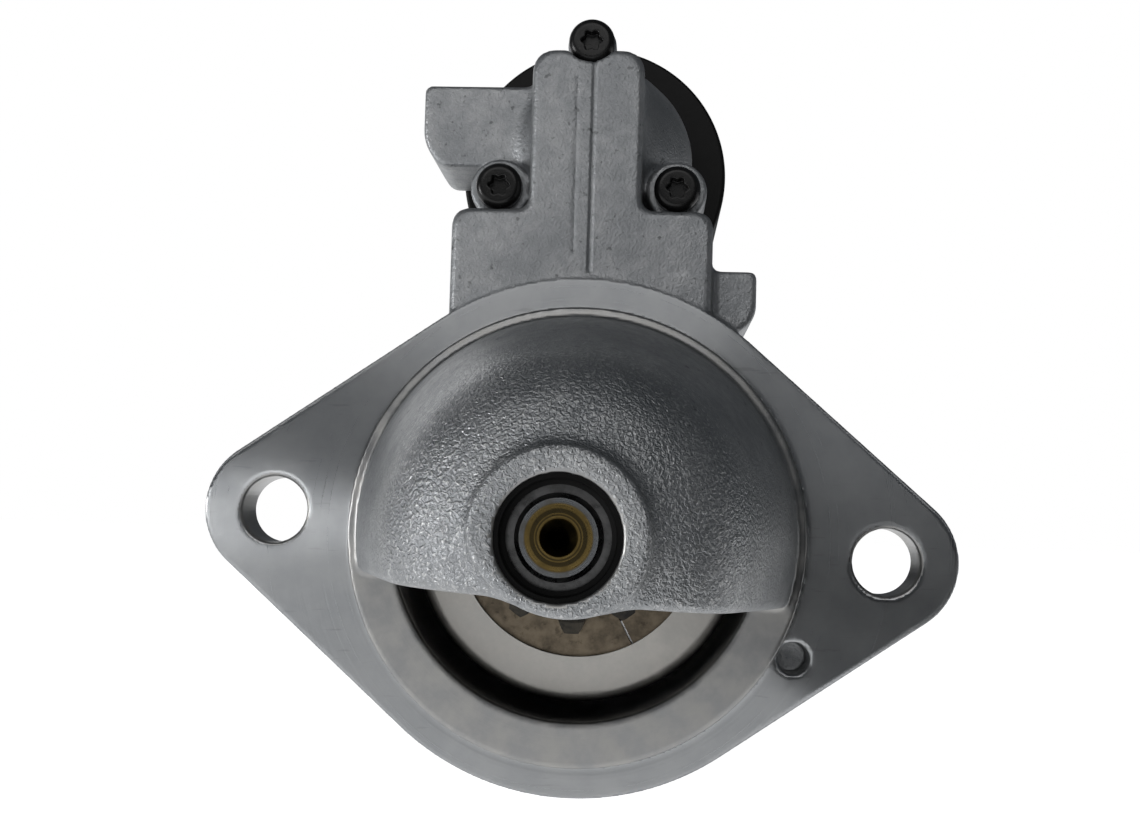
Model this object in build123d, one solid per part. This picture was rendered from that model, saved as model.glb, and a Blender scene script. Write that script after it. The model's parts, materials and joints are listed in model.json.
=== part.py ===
from build123d import *
import math
import os

# Starter motor with a reduction gear, in millimetres. The motor axis is the Y axis: the nose points to -Y
# and the commutator end to +Y. The origin is on the axis, in the flange face that meets the engine.
# The solenoid lies above the motor, parallel to it, at +Z.

# Flange and pilot
PILOT_R = 44.45
PILOT_FRONT = -5.5
FLANGE_T = 12.0
FLANGE_R = 51.0
EAR_R = 14.0
HOLE_SPACING = 120.65
HOLE_R = 6.5
EAR_ROLL = -3.3
DOWEL_R = 3.1
DOWEL_AT = (42.6, -22.6)
DOWEL_DEPTH = 8.0

# Nose and hood
WINDOW_R = 35.6
HOUSING_BORE_R = 36.0
NOSE_FRONT = -64.6
BOSS_R = 14.5
BOSS_BACK = -46.0
BOSS_LOW_R = 16.8
BOSS_LOW_CENTRE = (1.5, 4.3)
NOSE_BORE_R = 10.0
HOOD_CUT = -10.3

# Housing body behind the flange
BODY_R = 42.0
BODY_END = 62.0
SPIGOT_R = 38.95
SPIGOT_END = 66.0
BOLT_RADIUS = 46.8
BOLT_R = 2.95

# Lever chamber and solenoid seat
CHAMBER_FRONT = 0.5
BLOCK_X = (-27.0, 25.4)
BLOCK_TOP = 65.0
COLUMN_X = (-11.6, 11.0)
COLUMN_TOP = 97.6
SEAT_R = 21.5
SOL_Z = 80.0
CAN_FRONT = 36.5
CAN_R = 29.2
CAN_BORE_R = 10.6
SCREW_CIRCLE = 20.5
SCREW_ANGLES = (90.0, 208.0, 332.0)
SCREW_SEAT = 7.5
SCREW_HEAD_R = 4.7
SCREW_HEAD_H = 3.4

# Output shaft and nose bearing
NOSE_JOURNAL_R = 7.0
SHAFT_R = 8.0
SHAFT_END = -62.3
SPLINE_TIP = 10.4
SPLINE_ROOT = 9.0
SPLINE_TEETH = 8
SPLINE_RATE = 3.0
SPLINE_Y = (30.0, 57.0)
JOURNAL_R = 11.0

# Clutch and pinion, drawn at rest
PINION_FRONT = -13.0
PINION_BACK = 4.0
PINION_TEETH = 10
PINION_MODULE = 3.175
PINION_TIP = 18.4
RACE_R = 13.5
CLUTCH_FRONT = 6.9
CLUTCH_BACK = 29.0
COVER_OPENING = 24.2
CLUTCH_R = 33.2
ROLLER_R = 3.2
ROLLERS = 5
GUIDE_Y = 46.0
GUIDE_GROOVE = 6.6

# Fork lever: pivot in the YZ plane, rest angles of its two arms from the vertical, in degrees
PIVOT_Y = 31.0
PIVOT_Z = 52.0
PIVOT_R = 3.0
LOWER_ANGLE = 16.09
UPPER_ANGLE = 12.5
LOWER_ARM = 54.12
UPPER_ARM = 28.3

# Planetary gear: pitch radii follow from the module and the tooth counts
GEAR_MODULE = 1.5
SUN_TEETH = 12
PLANET_TEETH = 15
RING_TEETH = SUN_TEETH + 2 * PLANET_TEETH
GEAR_ANGLE = 25.0
GEAR_Y = (71.5, 82.5)
CARRIER_Y = (66.5, 71.0)
PLANET_CENTRE = GEAR_MODULE * (SUN_TEETH + PLANET_TEETH) / 2
PLANET_ANGLES = (90.0, 210.0, 330.0)
PLANET_PIN_R = 3.0

# Yoke, armature and commutator end
YOKE_R = 42.0
YOKE_BORE_R = 39.0
YOKE_END = 178.0
MAGNET_Y = (92.0, 152.0)
MAGNET_INNER = 31.7
CORE_R = 31.0
CORE_Y = (96.0, 150.0)
CORE_SLOTS = 19
COMM_R = 15.0
COMM_Y = (160.0, 178.5)
COMM_BARS = 28
ARM_SHAFT_R = 7.0
REAR_JOURNAL_R = 6.0
COVER_END = 198.0
BRUSH_ANGLES = (45.0, 135.0, 225.0, 315.0)
BRUSH_Y = (162.5, 176.0)
BRUSH_W = 7.0
BRUSH_OUT = 27.0
HOLDER_OUT = 36.0

# Solenoid inside, from the can's front to the studs
CAN_END = 88.0
CORE_FACE = 80.0
PLUNGER_BACK = 70.0
PLUNGER_R = 10.0
CAP_BACK = 118.0
CAP_WALL = 108.0
STUD_R = 4.0
STUD_PITCH_R = 3.6
STUD_COLLAR_R = 4.4
STUD_OFFSET = 13.0
STUD_END = 142.0
MAIN_NUT_H = 5.6
CONTROL_X = 16.5
CONTROL_R = 2.48
CONTROL_PITCH_R = 2.25
CONTROL_COLLAR_R = 2.8
CONTROL_END = 131.0
CONTROL_NUT_H = 3.6
BRIDGE_Y = (94.0, 97.0)
COPPER_T = 2.5

FIT = 0.03
GAP = 0.15


def polar(radius, angle):
    """Point in the XZ plane at an angle from +X towards +Z."""
    return radius * math.cos(math.radians(angle)), radius * math.sin(math.radians(angle))


def plate(sketch, y0, y1):
    """Extrude a sketch drawn in X and Z from y0 to y1."""
    return extrude(Plane.XZ.offset(-y1) * sketch, y1 - y0)


def disc(radius, y0, y1, x=0.0, z=0.0):
    return plate(Pos(x, z) * Circle(radius), y0, y1)


def ring(outer, inner, y0, y1, x=0.0, z=0.0):
    return plate(Pos(x, z) * (Circle(outer) - Circle(inner)), y0, y1)


def block(xs, ys, zs):
    """Box from its lowest and highest X, Y and Z."""
    size = [high - low for low, high in (xs, ys, zs)]
    middle = [(high + low) / 2 for low, high in (xs, ys, zs)]
    return Pos(*middle) * Box(*size)


def turned(points, z=0.0):
    """Turn a closed outline of (radius, y) points about an axis parallel to Y at height z."""
    outline = make_face(Polyline(*points, close=True))
    return Pos(0, 0, z) * revolve(outline, Axis.Y)


def side_plate(sketch, x0, x1):
    """Extrude a sketch drawn in Y and Z from x0 to x1."""
    return extrude(Plane.YZ.offset(x0) * sketch, x1 - x0)


def spin(shape, angle):
    """Turn a shape about the motor axis, from +X towards +Z."""
    return Rot(0, -angle, 0) * shape


def coil(mean_r, wire_r, y0, y1, turns, z=0.0):
    """Helical compression spring between y0 and y1."""
    height = y1 - y0 - 2 * wire_r
    path = Helix(pitch=height / turns, height=height, radius=mean_r)
    wire = sweep(Plane(path @ 0, z_dir=path % 0) * Circle(wire_r), path=path)
    return Plane.XZ.offset(-(y1 - wire_r)) * Pos(0, z, 0) * wire


def gear_outline(module, teeth, tip, root, slack, phase, pressure_angle=GEAR_ANGLE):
    """Involute gear outline with one tooth centred on the phase angle; slack thins each tooth."""
    pitch_r = module * teeth / 2
    base_r = pitch_r * math.cos(math.radians(pressure_angle))
    involute = math.tan(math.radians(pressure_angle)) - math.radians(pressure_angle)
    half_pitch = math.pi / (2 * teeth) - slack / (2 * pitch_r)

    def half_angle(radius):
        at = math.acos(min(1.0, base_r / radius))
        return math.degrees(half_pitch + involute - (math.tan(at) - at))

    start = max(base_r, root)
    radii = [start + (tip - start) * step / 4 for step in range(5)]
    edges = []
    for tooth in range(teeth):
        middle = phase + 360 * tooth / teeth
        rise = [polar(r, middle - half_angle(r)) for r in radii]
        fall = [polar(r, middle + half_angle(r)) for r in reversed(radii)]
        foot = half_angle(start)
        gap_end = 360 / teeth - foot
        if start > root + 0.01:
            edges += [Line(polar(root, middle - foot), rise[0]), Line(fall[-1], polar(root, middle + foot))]
        edges += [
            Spline(*rise),
            ThreePointArc(rise[-1], polar(tip, middle), fall[0]),
            Spline(*fall),
            ThreePointArc(
                polar(root, middle + foot), polar(root, middle + 180 / teeth), polar(root, middle + gap_end)
            ),
        ]
    return make_face(edges)


def spline_outline(tip, root, slack):
    """Section of the helical spline: teeth of equal width and gap on a round root."""
    width = 2 * math.pi * (SPLINE_TIP + SPLINE_ROOT) / 2 / SPLINE_TEETH / 2 + slack
    section = Circle(root)
    for tooth in range(SPLINE_TEETH):
        section += Rot(0, 0, 360 * tooth / SPLINE_TEETH) * Pos(tip / 2, 0) * Rectangle(tip, width)
    return section & Circle(tip)


def twisted(section, y0, y1):
    """Helical extrusion of a section along Y; all splines share one lead."""
    low = Pos(0, 0, -y1) * Rot(0, 0, -SPLINE_RATE * y1) * section
    solid = Solid.extrude_linear_with_rotation(
        low.face(), center=(0, 0, -y1), normal=(0, 0, y1 - y0), angle=SPLINE_RATE * (y1 - y0)
    )
    return Plane.XZ * solid


def thread_grooves(shaft_r, y0, y1, x, z, pitch=1.25):
    """Shallow rings that stand for a screw thread on a stud."""
    depth = 0.45
    grooves = []
    y = y0 + pitch
    while y < y1 - pitch:
        groove = turned([(shaft_r + 0.1, y - 0.5), (shaft_r + 0.1, y + 0.5), (shaft_r - depth, y)])
        grooves.append(Pos(x, 0, z) * groove)
        y += pitch
    return grooves


# Drive-end housing ------------------------------------------------------------------------------------------


def flange_plate():
    circles = [Circle(FLANGE_R)] + [Pos(side * HOLE_SPACING / 2, 0) * Circle(EAR_R) for side in (-1, 1)]
    face = make_hull([edge for circle in circles for edge in circle.edges()])
    for side in (-1, 1):
        face -= Pos(side * HOLE_SPACING / 2, 0) * Circle(HOLE_R)
    return plate(Rot(0, 0, EAR_ROLL) * face, 0, FLANGE_T)


def hood():
    """Half dome over the pinion, with its lower side cut away along the line of the ears."""
    outer = make_face(
        Polyline((0, 0), (43.7, 0), (43.7, PILOT_FRONT), (29.0, -50.5), (16.0, -58.5), (0, -58.5), close=True)
    )
    outer = fillet(outer.vertices().sort_by_distance((29.0, -50.5))[0], 7.0)
    inner = make_face(
        Polyline((0, 0.5), (WINDOW_R, 0.5), (WINDOW_R, -9.0), (24.0, -44.0), (20.0, BOSS_BACK),
                 (0, BOSS_BACK), close=True)
    )
    dome = revolve(outer, Axis.Y) - revolve(inner, Axis.Y)
    keep = block((-60, 60), (-70, PILOT_FRONT + 0.5), (HOOD_CUT, 60))
    return dome & (spin(keep, EAR_ROLL))


def nose_boss():
    """Round boss at the nose, its underside trimmed to a flatter arc."""
    profile = make_face(
        Polyline((0, BOSS_BACK), (BOSS_R, BOSS_BACK), (BOSS_R, NOSE_FRONT), (0, NOSE_FRONT), close=True)
    )
    profile = fillet(profile.vertices().sort_by_distance((BOSS_R, NOSE_FRONT))[0], 0.8)
    return revolve(profile, Axis.Y) & disc(BOSS_LOW_R, NOSE_FRONT, BOSS_BACK, *BOSS_LOW_CENTRE)


def lever_chamber():
    """Wide block on the flange with the narrow column above it that closes the front of the lever space."""
    wide = block(BLOCK_X, (CHAMBER_FRONT, CAN_FRONT), (34.0, BLOCK_TOP))
    wide = fillet(wide.edges().filter_by(Axis.Y).group_by(Axis.Z)[-1], 3.0)
    column = block(COLUMN_X, (CHAMBER_FRONT, CAN_FRONT), (BLOCK_TOP - 5, COLUMN_TOP))
    column = fillet(column.edges().filter_by(Axis.Y).group_by(Axis.Z)[-1], 3.2)
    column = fillet(column.edges().filter_by(Axis.Z).group_by(Axis.Y)[0], 3.0)
    seat = turned(
        [(0, 9), (13.0, 9), (SEAT_R - 1.5, 19), (SEAT_R, 22), (SEAT_R, CAN_FRONT), (0, CAN_FRONT)], SOL_Z
    )
    shape = wide + column + seat
    for angle in SCREW_ANGLES:
        x, z = polar(SCREW_CIRCLE, angle)
        boss_r = 5.0 if angle == 90.0 else 6.1
        shape += disc(boss_r, SCREW_SEAT, CAN_FRONT, x, SOL_Z + z)
    return shape


def lugs():
    """Two square lugs cast on the chamber, each with one lower corner cut away."""
    left = make_face(
        Polyline((-35.0, 93.0), (-10.0, 93.0), (-10.0, 76.0), (-31.6, 76.0), (-35.0, 81.0), close=True)
    )
    left = fillet(left.vertices().group_by(Axis.X)[0].sort_by(Axis.Y)[-1], 1.2)
    right = make_face(
        Polyline((15.0, 53.6), (34.4, 53.6), (34.4, 44.5), (31.5, 41.4), (15.0, 41.4), close=True)
    )
    right = fillet(right.vertices().group_by(Axis.X)[-1].sort_by(Axis.Y)[-1], 1.2)
    return plate(left, 12.0, CAN_FRONT) + plate(right, 4.0, 34.0)


def drive_end_housing():
    shape = flange_plate()
    shape += disc(PILOT_R, PILOT_FRONT, 1.0)
    shape += disc(BODY_R, 1.0, BODY_END)
    shape += disc(SPIGOT_R, BODY_END - 1, SPIGOT_END)
    for side in (-1, 1):
        x, z = polar(side * BOLT_RADIUS, EAR_ROLL)
        shape += disc(6.0, FLANGE_T - 1, BODY_END, x, z)
    shape += lever_chamber() + lugs()
    shape += block((-12.0, 12.0), (CAN_FRONT - 6, 50.5), (36.0, SOL_Z - CAN_R - 0.6))
    shape -= disc(HOUSING_BORE_R, PILOT_FRONT + 3.0, SPIGOT_END + 1)
    shape -= disc(WINDOW_R, PILOT_FRONT - 1, PILOT_FRONT + 4.0)
    shape += hood() + nose_boss()
    shape -= disc(NOSE_BORE_R, NOSE_FRONT - 1, BOSS_BACK - 1.5)
    shape -= disc(SHAFT_R + 1.0, BOSS_BACK - 2, BOSS_BACK + 2)
    shape -= disc(DOWEL_R, -1, DOWEL_DEPTH, *DOWEL_AT)
    for side in (-1, 1):
        x, z = polar(side * BOLT_RADIUS, EAR_ROLL)
        shape -= disc(BOLT_R + 0.01, 30.0, BODY_END + 1, x, z)
    # Lever space, open to the clutch below and to the solenoid behind
    shape -= block((-7.6, 7.6), (5.0, CAN_FRONT + 0.5), (33.0, 92.0))
    shape -= block((-7.6, 7.6), (5.0, 46.5), (33.0, 45.5))
    shape -= disc(8.0, 5.0, CAN_FRONT + 1, 0, SOL_Z)
    shape -= Pos(-8, PIVOT_Y, PIVOT_Z) * Rot(0, 90, 0) * Cylinder(PIVOT_R, 44)
    for angle in SCREW_ANGLES:
        x, z = polar(SCREW_CIRCLE, angle)
        shape -= disc(2.7, CHAMBER_FRONT + 3, CAN_FRONT + 1, x, SOL_Z + z)
        shape -= disc(SCREW_HEAD_R + 0.7, CHAMBER_FRONT + 3, SCREW_SEAT, x, SOL_Z + z)
    return shape


# Nose bearing and shaft -------------------------------------------------------------------------------------


def nose_bearing():
    """Drawn-cup needle bearing pressed into the nose."""
    return turned([
        (NOSE_JOURNAL_R + FIT, -61.0), (8.6, -61.0), (9.0, -61.6), (NOSE_BORE_R, -61.6),
        (NOSE_BORE_R, -48.0), (NOSE_JOURNAL_R + FIT, -48.0),
    ])


def nose_seal():
    """Black rubber ring in front of the nose bearing, with a thin lip round the shaft."""
    return turned([
        (8.9, -61.7), (NOSE_BORE_R, -61.7), (NOSE_BORE_R, -64.0), (9.3, -64.0), (9.0, -62.9), (8.3, -62.6),
        (8.3, -62.0),
    ])


def output_shaft():
    shaft = turned([
        (0, SHAFT_END), (NOSE_JOURNAL_R - 0.8, SHAFT_END), (NOSE_JOURNAL_R, SHAFT_END + 0.8),
        (NOSE_JOURNAL_R, -46.8), (SHAFT_R, -46.0), (SHAFT_R, SPLINE_Y[0] + 0.5),
        (SPLINE_ROOT, SPLINE_Y[0] + 1.5), (SPLINE_ROOT, SPLINE_Y[1]), (JOURNAL_R, SPLINE_Y[1] + 0.5),
        (JOURNAL_R, CARRIER_Y[0]), (27.0, CARRIER_Y[0]), (27.0, CARRIER_Y[1]), (0, CARRIER_Y[1]),
    ])
    shaft += twisted(spline_outline(SPLINE_TIP, SPLINE_ROOT, 0.0), SPLINE_Y[0] + 1.5, SPLINE_Y[1] + 0.3)
    shaft -= disc(4.5 + 0.05, 58.5, CARRIER_Y[1] + 1)
    shaft -= turned([(0, SHAFT_END - 0.1), (3.1, SHAFT_END - 0.1), (1.4, -60.3), (1.4, -57.0), (0, -56.2)])
    shaft -= ring(SHAFT_R + 1, 7.2, -37.6, -36.2)
    for angle in PLANET_ANGLES:
        shaft -= disc(PLANET_PIN_R, CARRIER_Y[0] + 1, CARRIER_Y[1] + 1, *polar(PLANET_CENTRE, angle))
    return shaft


def stop_ring():
    """Cup that stops the pinion; its recess holds the snap ring in."""
    return ring(11.4, SHAFT_R + FIT, -37.4, -31.2) - ring(9.3, SHAFT_R - 1, -38, -36.0)


def snap_ring():
    return ring(9.2, 7.25, -37.5, -36.3) - block((-1.0, 1.0), (-38, -36), (-10, 0))


def planet_pins():
    return [
        disc(PLANET_PIN_R, CARRIER_Y[0] + 1.1, GEAR_Y[1] + 0.8, *polar(PLANET_CENTRE, angle))
        for angle in PLANET_ANGLES
    ]


def planet_gear(angle):
    pitch_r = GEAR_MODULE * PLANET_TEETH / 2
    outline = gear_outline(
        GEAR_MODULE, PLANET_TEETH, pitch_r + 0.85 * GEAR_MODULE, pitch_r - 1.2 * GEAR_MODULE, GAP, angle
    )
    outline -= Circle(PLANET_PIN_R + FIT)
    return plate(Pos(*polar(PLANET_CENTRE, angle)) * outline, *GEAR_Y)


def ring_gear():
    pitch_r = GEAR_MODULE * RING_TEETH / 2
    space = gear_outline(
        GEAR_MODULE, RING_TEETH, pitch_r + 1.2 * GEAR_MODULE, pitch_r - 0.85 * GEAR_MODULE, -GAP,
        PLANET_ANGLES[0]
    )
    return plate(Circle(YOKE_BORE_R - 0.05) - space, SPIGOT_END + 0.1, 86.0)


def support_plate():
    """Plate between the gear and the clutch space, with the hub that holds the middle bearing."""
    plate_disc = ring(HOUSING_BORE_R - 0.05, 13.0, 62.5, 66.0)
    return plate_disc + ring(16.0, 13.0, 58.5, 63.0)


def support_bush():
    return ring(13.0, JOURNAL_R + FIT, 58.5, 66.0)


# Pinion and overrunning clutch ------------------------------------------------------------------------------


def pinion():
    """Ten-tooth pinion in one piece with the inner race of the clutch."""
    pitch_r = PINION_MODULE * PINION_TEETH / 2
    outline = gear_outline(PINION_MODULE, PINION_TEETH, PINION_TIP, pitch_r - 3.0, 0.1, 270.0, 20.0)
    teeth = plate(outline, PINION_FRONT, PINION_BACK)
    teeth &= turned([
        (0, PINION_FRONT), (PINION_TIP - 2.2, PINION_FRONT), (PINION_TIP + 0.1, PINION_FRONT + 2.0),
        (PINION_TIP + 0.1, PINION_BACK), (0, PINION_BACK),
    ])
    shape = teeth + disc(15.4, PINION_BACK - 1, 7.8) + disc(RACE_R, 7.0, 25.0)
    shape -= disc(9.5, PINION_FRONT - 1, 26.0)
    return shape


def pinion_bushes():
    return [ring(9.5, SHAFT_R + FIT, y, y + 9.0) for y in (PINION_FRONT, 15.9)]


def clutch_driver():
    """Outer race of the clutch in one piece with the sleeve that rides on the helical spline."""
    shell = turned([
        (RACE_R + 0.08, 10.2), (31.0, 10.2), (31.8, 11.0), (31.8, CLUTCH_BACK), (14.2, CLUTCH_BACK),
        (14.2, 57.0), (12.0, 57.0), (12.0, 25.6), (RACE_R + 0.08, 25.6),
    ])
    centre = RACE_R + ROLLER_R + 0.15
    pocket = Pos(centre, 0) * Circle(ROLLER_R + 0.15)
    pocket += Pos(centre - 0.6, 4.2) * Rectangle(2 * ROLLER_R - 1.0, 8.4)
    for index in range(ROLLERS):
        shell -= plate(Rot(0, 0, 360 * index / ROLLERS) * pocket, 10.0, 25.0)
    shell -= disc(12.5, 25.0, 29.0)
    shell += ring(14.2, 10.5, CLUTCH_BACK, 57.0) - twisted(
        spline_outline(SPLINE_TIP + 0.25, SPLINE_ROOT + 0.2, 0.5), CLUTCH_BACK - 1, 58.0
    )
    shell -= ring(15.0, 13.2, 51.6, 52.9)
    return shell


def clutch_rollers():
    centre = RACE_R + ROLLER_R + 0.15
    return [
        disc(ROLLER_R, 10.6, 24.6, *polar(centre, 360 * index / ROLLERS)) for index in range(ROLLERS)
    ]


def roller_springs():
    """Small coils that push each roller into its wedge."""
    springs = []
    for index in range(ROLLERS):
        wire = coil(1.5, 0.3, 0.0, 4.4, 5)
        upright = Pos(RACE_R + ROLLER_R - 0.4, 17.6, 3.7) * Rot(90, 0, 0) * wire
        springs.append(spin(upright, 360 * index / ROLLERS))
    return springs


def clutch_cover():
    """Pressed cap over the clutch shell, rolled in behind it."""
    outline = make_face(Polyline(
        (COVER_OPENING, CLUTCH_FRONT), (CLUTCH_R, CLUTCH_FRONT), (CLUTCH_R, CLUTCH_BACK + 1.3),
        (29.0, CLUTCH_BACK + 1.3), (29.0, CLUTCH_BACK + 0.1), (CLUTCH_R - 1.3, CLUTCH_BACK + 0.1),
        (CLUTCH_R - 1.3, CLUTCH_FRONT + 1.1), (COVER_OPENING, CLUTCH_FRONT + 1.1), close=True,
    ))
    corner = outline.vertices().sort_by_distance((CLUTCH_R, CLUTCH_FRONT))[0]
    outline = fillet(corner, 2.2)
    inner = outline.vertices().sort_by_distance((CLUTCH_R - 1.3, CLUTCH_FRONT + 1.1))[0]
    outline = fillet(inner, 1.0)
    return revolve(outline, Axis.Y)


def clutch_washer():
    """Thrust washer in two halves, held behind the opening of the cover."""
    halves = ring(29.0, RACE_R + 0.1, CLUTCH_FRONT + 1.15, 9.9)
    slit = Rot(0, 0, -62.0) * Rectangle(70, 0.4)
    return halves - plate(slit, 5, 12)


def driver_clip():
    return ring(16.0, 13.25, 51.7, 52.8) - block((-2.0, 2.0), (50, 54), (-18, 0))


def guide_ring():
    """Grooved ring that the fork pushes; it carries the thrust through the meshing spring."""
    half = GUIDE_GROOVE / 2
    return turned([
        (14.3, GUIDE_Y - half - 2.2), (22.0, GUIDE_Y - half - 2.2), (22.0, GUIDE_Y - half),
        (17.0, GUIDE_Y - half), (17.0, GUIDE_Y + half), (22.0, GUIDE_Y + half),
        (22.0, GUIDE_Y + half + 2.2), (14.3, GUIDE_Y + half + 2.2),
    ])


def meshing_spring():
    return coil(17.2, 1.2, CLUTCH_BACK + 0.1, GUIDE_Y - GUIDE_GROOVE / 2 - 2.3, 2.5)


# Fork lever -------------------------------------------------------------------------------------------------


def fork_lever():
    """Lever drawn with its lower arm straight down from the pivot, then leaned to its rest angle."""
    half = 2.5
    arms = Circle(30.0) - Circle(25.4)
    arms &= Pos(0, 13.5) * Rectangle(62, 34.0)
    arms = Pos(0, -LOWER_ARM) * arms
    lower = plate(arms, -3.0, 3.0)
    lower += block((-half, half), (-3.2, 3.2), (-LOWER_ARM + 27.0, 0))
    lower += block((-half - 3.0, half + 3.0), (-2.4, 2.4), (-LOWER_ARM + 27.0, -12.0))
    for side in (-1, 1):
        pad = Pos(side * 23.0, 0, -LOWER_ARM) * Rot(0, 90, 0) * Cylinder(2.9, 10.0)
        lower += pad
    bend = LOWER_ANGLE - UPPER_ANGLE
    stem = Pos(0, UPPER_ARM / 2) * Rectangle(6.2, UPPER_ARM)
    eye = stem + Pos(0, UPPER_ARM) * Circle(5.0)
    slot = SlotCenterToCenter(2.4, 2 * 2.15, rotation=90)
    eye -= Pos(0, UPPER_ARM + 0.1) * slot
    upper = Rot(-bend, 0, 0) * side_plate(eye, -half, half)
    hub = Rot(0, 90, 0) * Cylinder(5.2, 14.4)
    lever = lower + upper + hub
    lever -= Rot(0, 90, 0) * Cylinder(PIVOT_R + 0.05, 20)
    return Pos(0, PIVOT_Y, PIVOT_Z) * Rot(LOWER_ANGLE, 0, 0) * lever


def pivot_pin():
    return Pos(-7.0, PIVOT_Y, PIVOT_Z) * Rot(0, 90, 0) * Cylinder(PIVOT_R - 0.01, 39.0)


# Yoke, armature and commutator end --------------------------------------------------------------------------


def yoke_tube():
    tube = ring(YOKE_R, YOKE_BORE_R, BODY_END, YOKE_END)
    notch = block((-6.6, 6.6), (166.0, YOKE_END + 1), (30, 50))
    return tube - notch


def magnets():
    wedge = make_face(Polyline((0, 0), polar(60, -24.5), polar(70, 0), polar(60, 24.5), close=True))
    segment = (Circle(YOKE_BORE_R) - Circle(MAGNET_INNER)) & wedge
    return [plate(Rot(0, 0, 30 + 60 * index) * segment, *MAGNET_Y) for index in range(6)]


def armature_shaft():
    shaft = turned([
        (0, 59.5), (4.5, 59.5), (4.5, GEAR_Y[0] + 0.2), (ARM_SHAFT_R, GEAR_Y[0] + 0.2), (ARM_SHAFT_R, 181.0),
        (REAR_JOURNAL_R, 182.0), (REAR_JOURNAL_R, 201.5), (0, 201.5),
    ])
    pitch_r = GEAR_MODULE * SUN_TEETH / 2
    sun = gear_outline(
        GEAR_MODULE, SUN_TEETH, pitch_r + 0.85 * GEAR_MODULE, pitch_r - 1.2 * GEAR_MODULE, GAP,
        PLANET_ANGLES[0]
    )
    shaft += plate(sun, GEAR_Y[0] + 0.2, GEAR_Y[1] + 1.5)
    return shaft - ring(REAR_JOURNAL_R + 1, 5.0, 198.9, 200.1)


def slot_shape(width, inner, outer, mouth):
    """One winding slot of the armature core, opening through a narrow mouth."""
    slot = Pos((inner + outer) / 2, 0) * Rectangle(outer - inner, width)
    if mouth:
        slot += Pos(outer + 1.5, 0) * Rectangle(5.0, mouth)
    return slot


def armature_core():
    section = Circle(CORE_R) - Circle(ARM_SHAFT_R)
    for index in range(CORE_SLOTS):
        section -= Rot(0, 0, 360 * index / CORE_SLOTS) * slot_shape(4.0, 18.0, 28.5, 1.4)
    return plate(section, *CORE_Y)


def armature_windings():
    front = turned([(16.5, CORE_Y[0] - 0.1), (28.0, CORE_Y[0] - 0.1), (27.0, 90.0), (18.0, 88.6)])
    rear = turned([(16.5, CORE_Y[1] + 0.1), (28.0, CORE_Y[1] + 0.1), (25.0, 157.0), (16.2, COMM_Y[0] - 0.2)])
    copper = front + rear
    for index in range(CORE_SLOTS):
        bar = slot_shape(3.7, 18.2, 28.0, 0)
        copper += plate(Rot(0, 0, 360 * index / CORE_SLOTS) * bar, CORE_Y[0] - 0.5, CORE_Y[1] + 0.5)
    return copper


def commutator():
    section = Circle(COMM_R) - Circle(ARM_SHAFT_R)
    for index in range(COMM_BARS):
        section -= Rot(0, 0, 360 * index / COMM_BARS) * Pos(COMM_R, 0) * Rectangle(1.6, 0.6)
    return plate(section, *COMM_Y) + ring(16.6, 10.0, COMM_Y[0] - 0.1, COMM_Y[0] + 1.9)


def lock_washer():
    return ring(8.2, 5.05, 198.95, 200.05) - block((-1.5, 1.5), (198, 201), (-10, 0))


def radial_box(width, inner, outer, y0, y1, angle):
    box = block((inner, outer), (y0, y1), (-width / 2, width / 2))
    return spin(box, angle)


def brush(angle):
    """Carbon brush with its running face ground to the commutator."""
    body = radial_box(BRUSH_W, COMM_R - 1.0, BRUSH_OUT, *BRUSH_Y, angle)
    return body - disc(COMM_R + 0.05, BRUSH_Y[0] - 1, BRUSH_Y[1] + 1)


def brush_holders():
    """Folded brass boxes on the brush plate, closed at the outer end behind the spring."""
    holders = []
    for angle in BRUSH_ANGLES:
        outer = radial_box(BRUSH_W + 2.2, 18.5, HOLDER_OUT, BRUSH_Y[0] - 1.0, 178.3, angle)
        channel = radial_box(
            BRUSH_W + 0.3, 17.0, HOLDER_OUT - 1.0, BRUSH_Y[0] - 0.15, BRUSH_Y[1] + 0.15, angle
        )
        holders.append(outer - channel)
    return holders


def brush_springs():
    springs = []
    for angle in BRUSH_ANGLES:
        wire = coil(2.6, 0.4, 0.0, HOLDER_OUT - 1.0 - BRUSH_OUT, 5)
        radial = Pos(BRUSH_OUT, sum(BRUSH_Y) / 2, 0) * Rot(0, 0, -90) * wire
        springs.append(spin(radial, angle))
    return springs


def brush_plate():
    return ring(YOKE_BORE_R - 0.3, COMM_R + 2.5, 178.3, 180.1)


def commutator_end_cover():
    cover = turned([
        (YOKE_R, YOKE_END), (YOKE_R, 188.0), (39.0, 191.0), (14.0, 191.0), (13.0, COVER_END),
        (9.0, COVER_END),
        (9.0, 183.0), (13.0, 183.0), (14.0, 187.5), (35.0, 187.5), (38.8, 185.0), (38.8, YOKE_END),
    ])
    for side in (-1, 1):
        x, z = polar(side * BOLT_RADIUS, EAR_ROLL)
        cover += disc(6.0, YOKE_END, 187.9, x, z) - disc(YOKE_R - 1.5, YOKE_END - 1, 189.0)
        cover -= disc(BOLT_R + 0.35, YOKE_END - 1, 193.0, x, z)
        cover -= disc(6.6, 187.9, 193.0, x, z)
    for angle in range(30, 390, 60):
        cover += radial_box(2.4, 14.9, 37.0, 190.5, 192.6, angle)
    return cover - block((-6.6, 6.6), (YOKE_END - 1, 180.0), (30, 50))


def rear_bush():
    return ring(9.0, REAR_JOURNAL_R + FIT, 183.2, COVER_END - 0.2)


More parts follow.
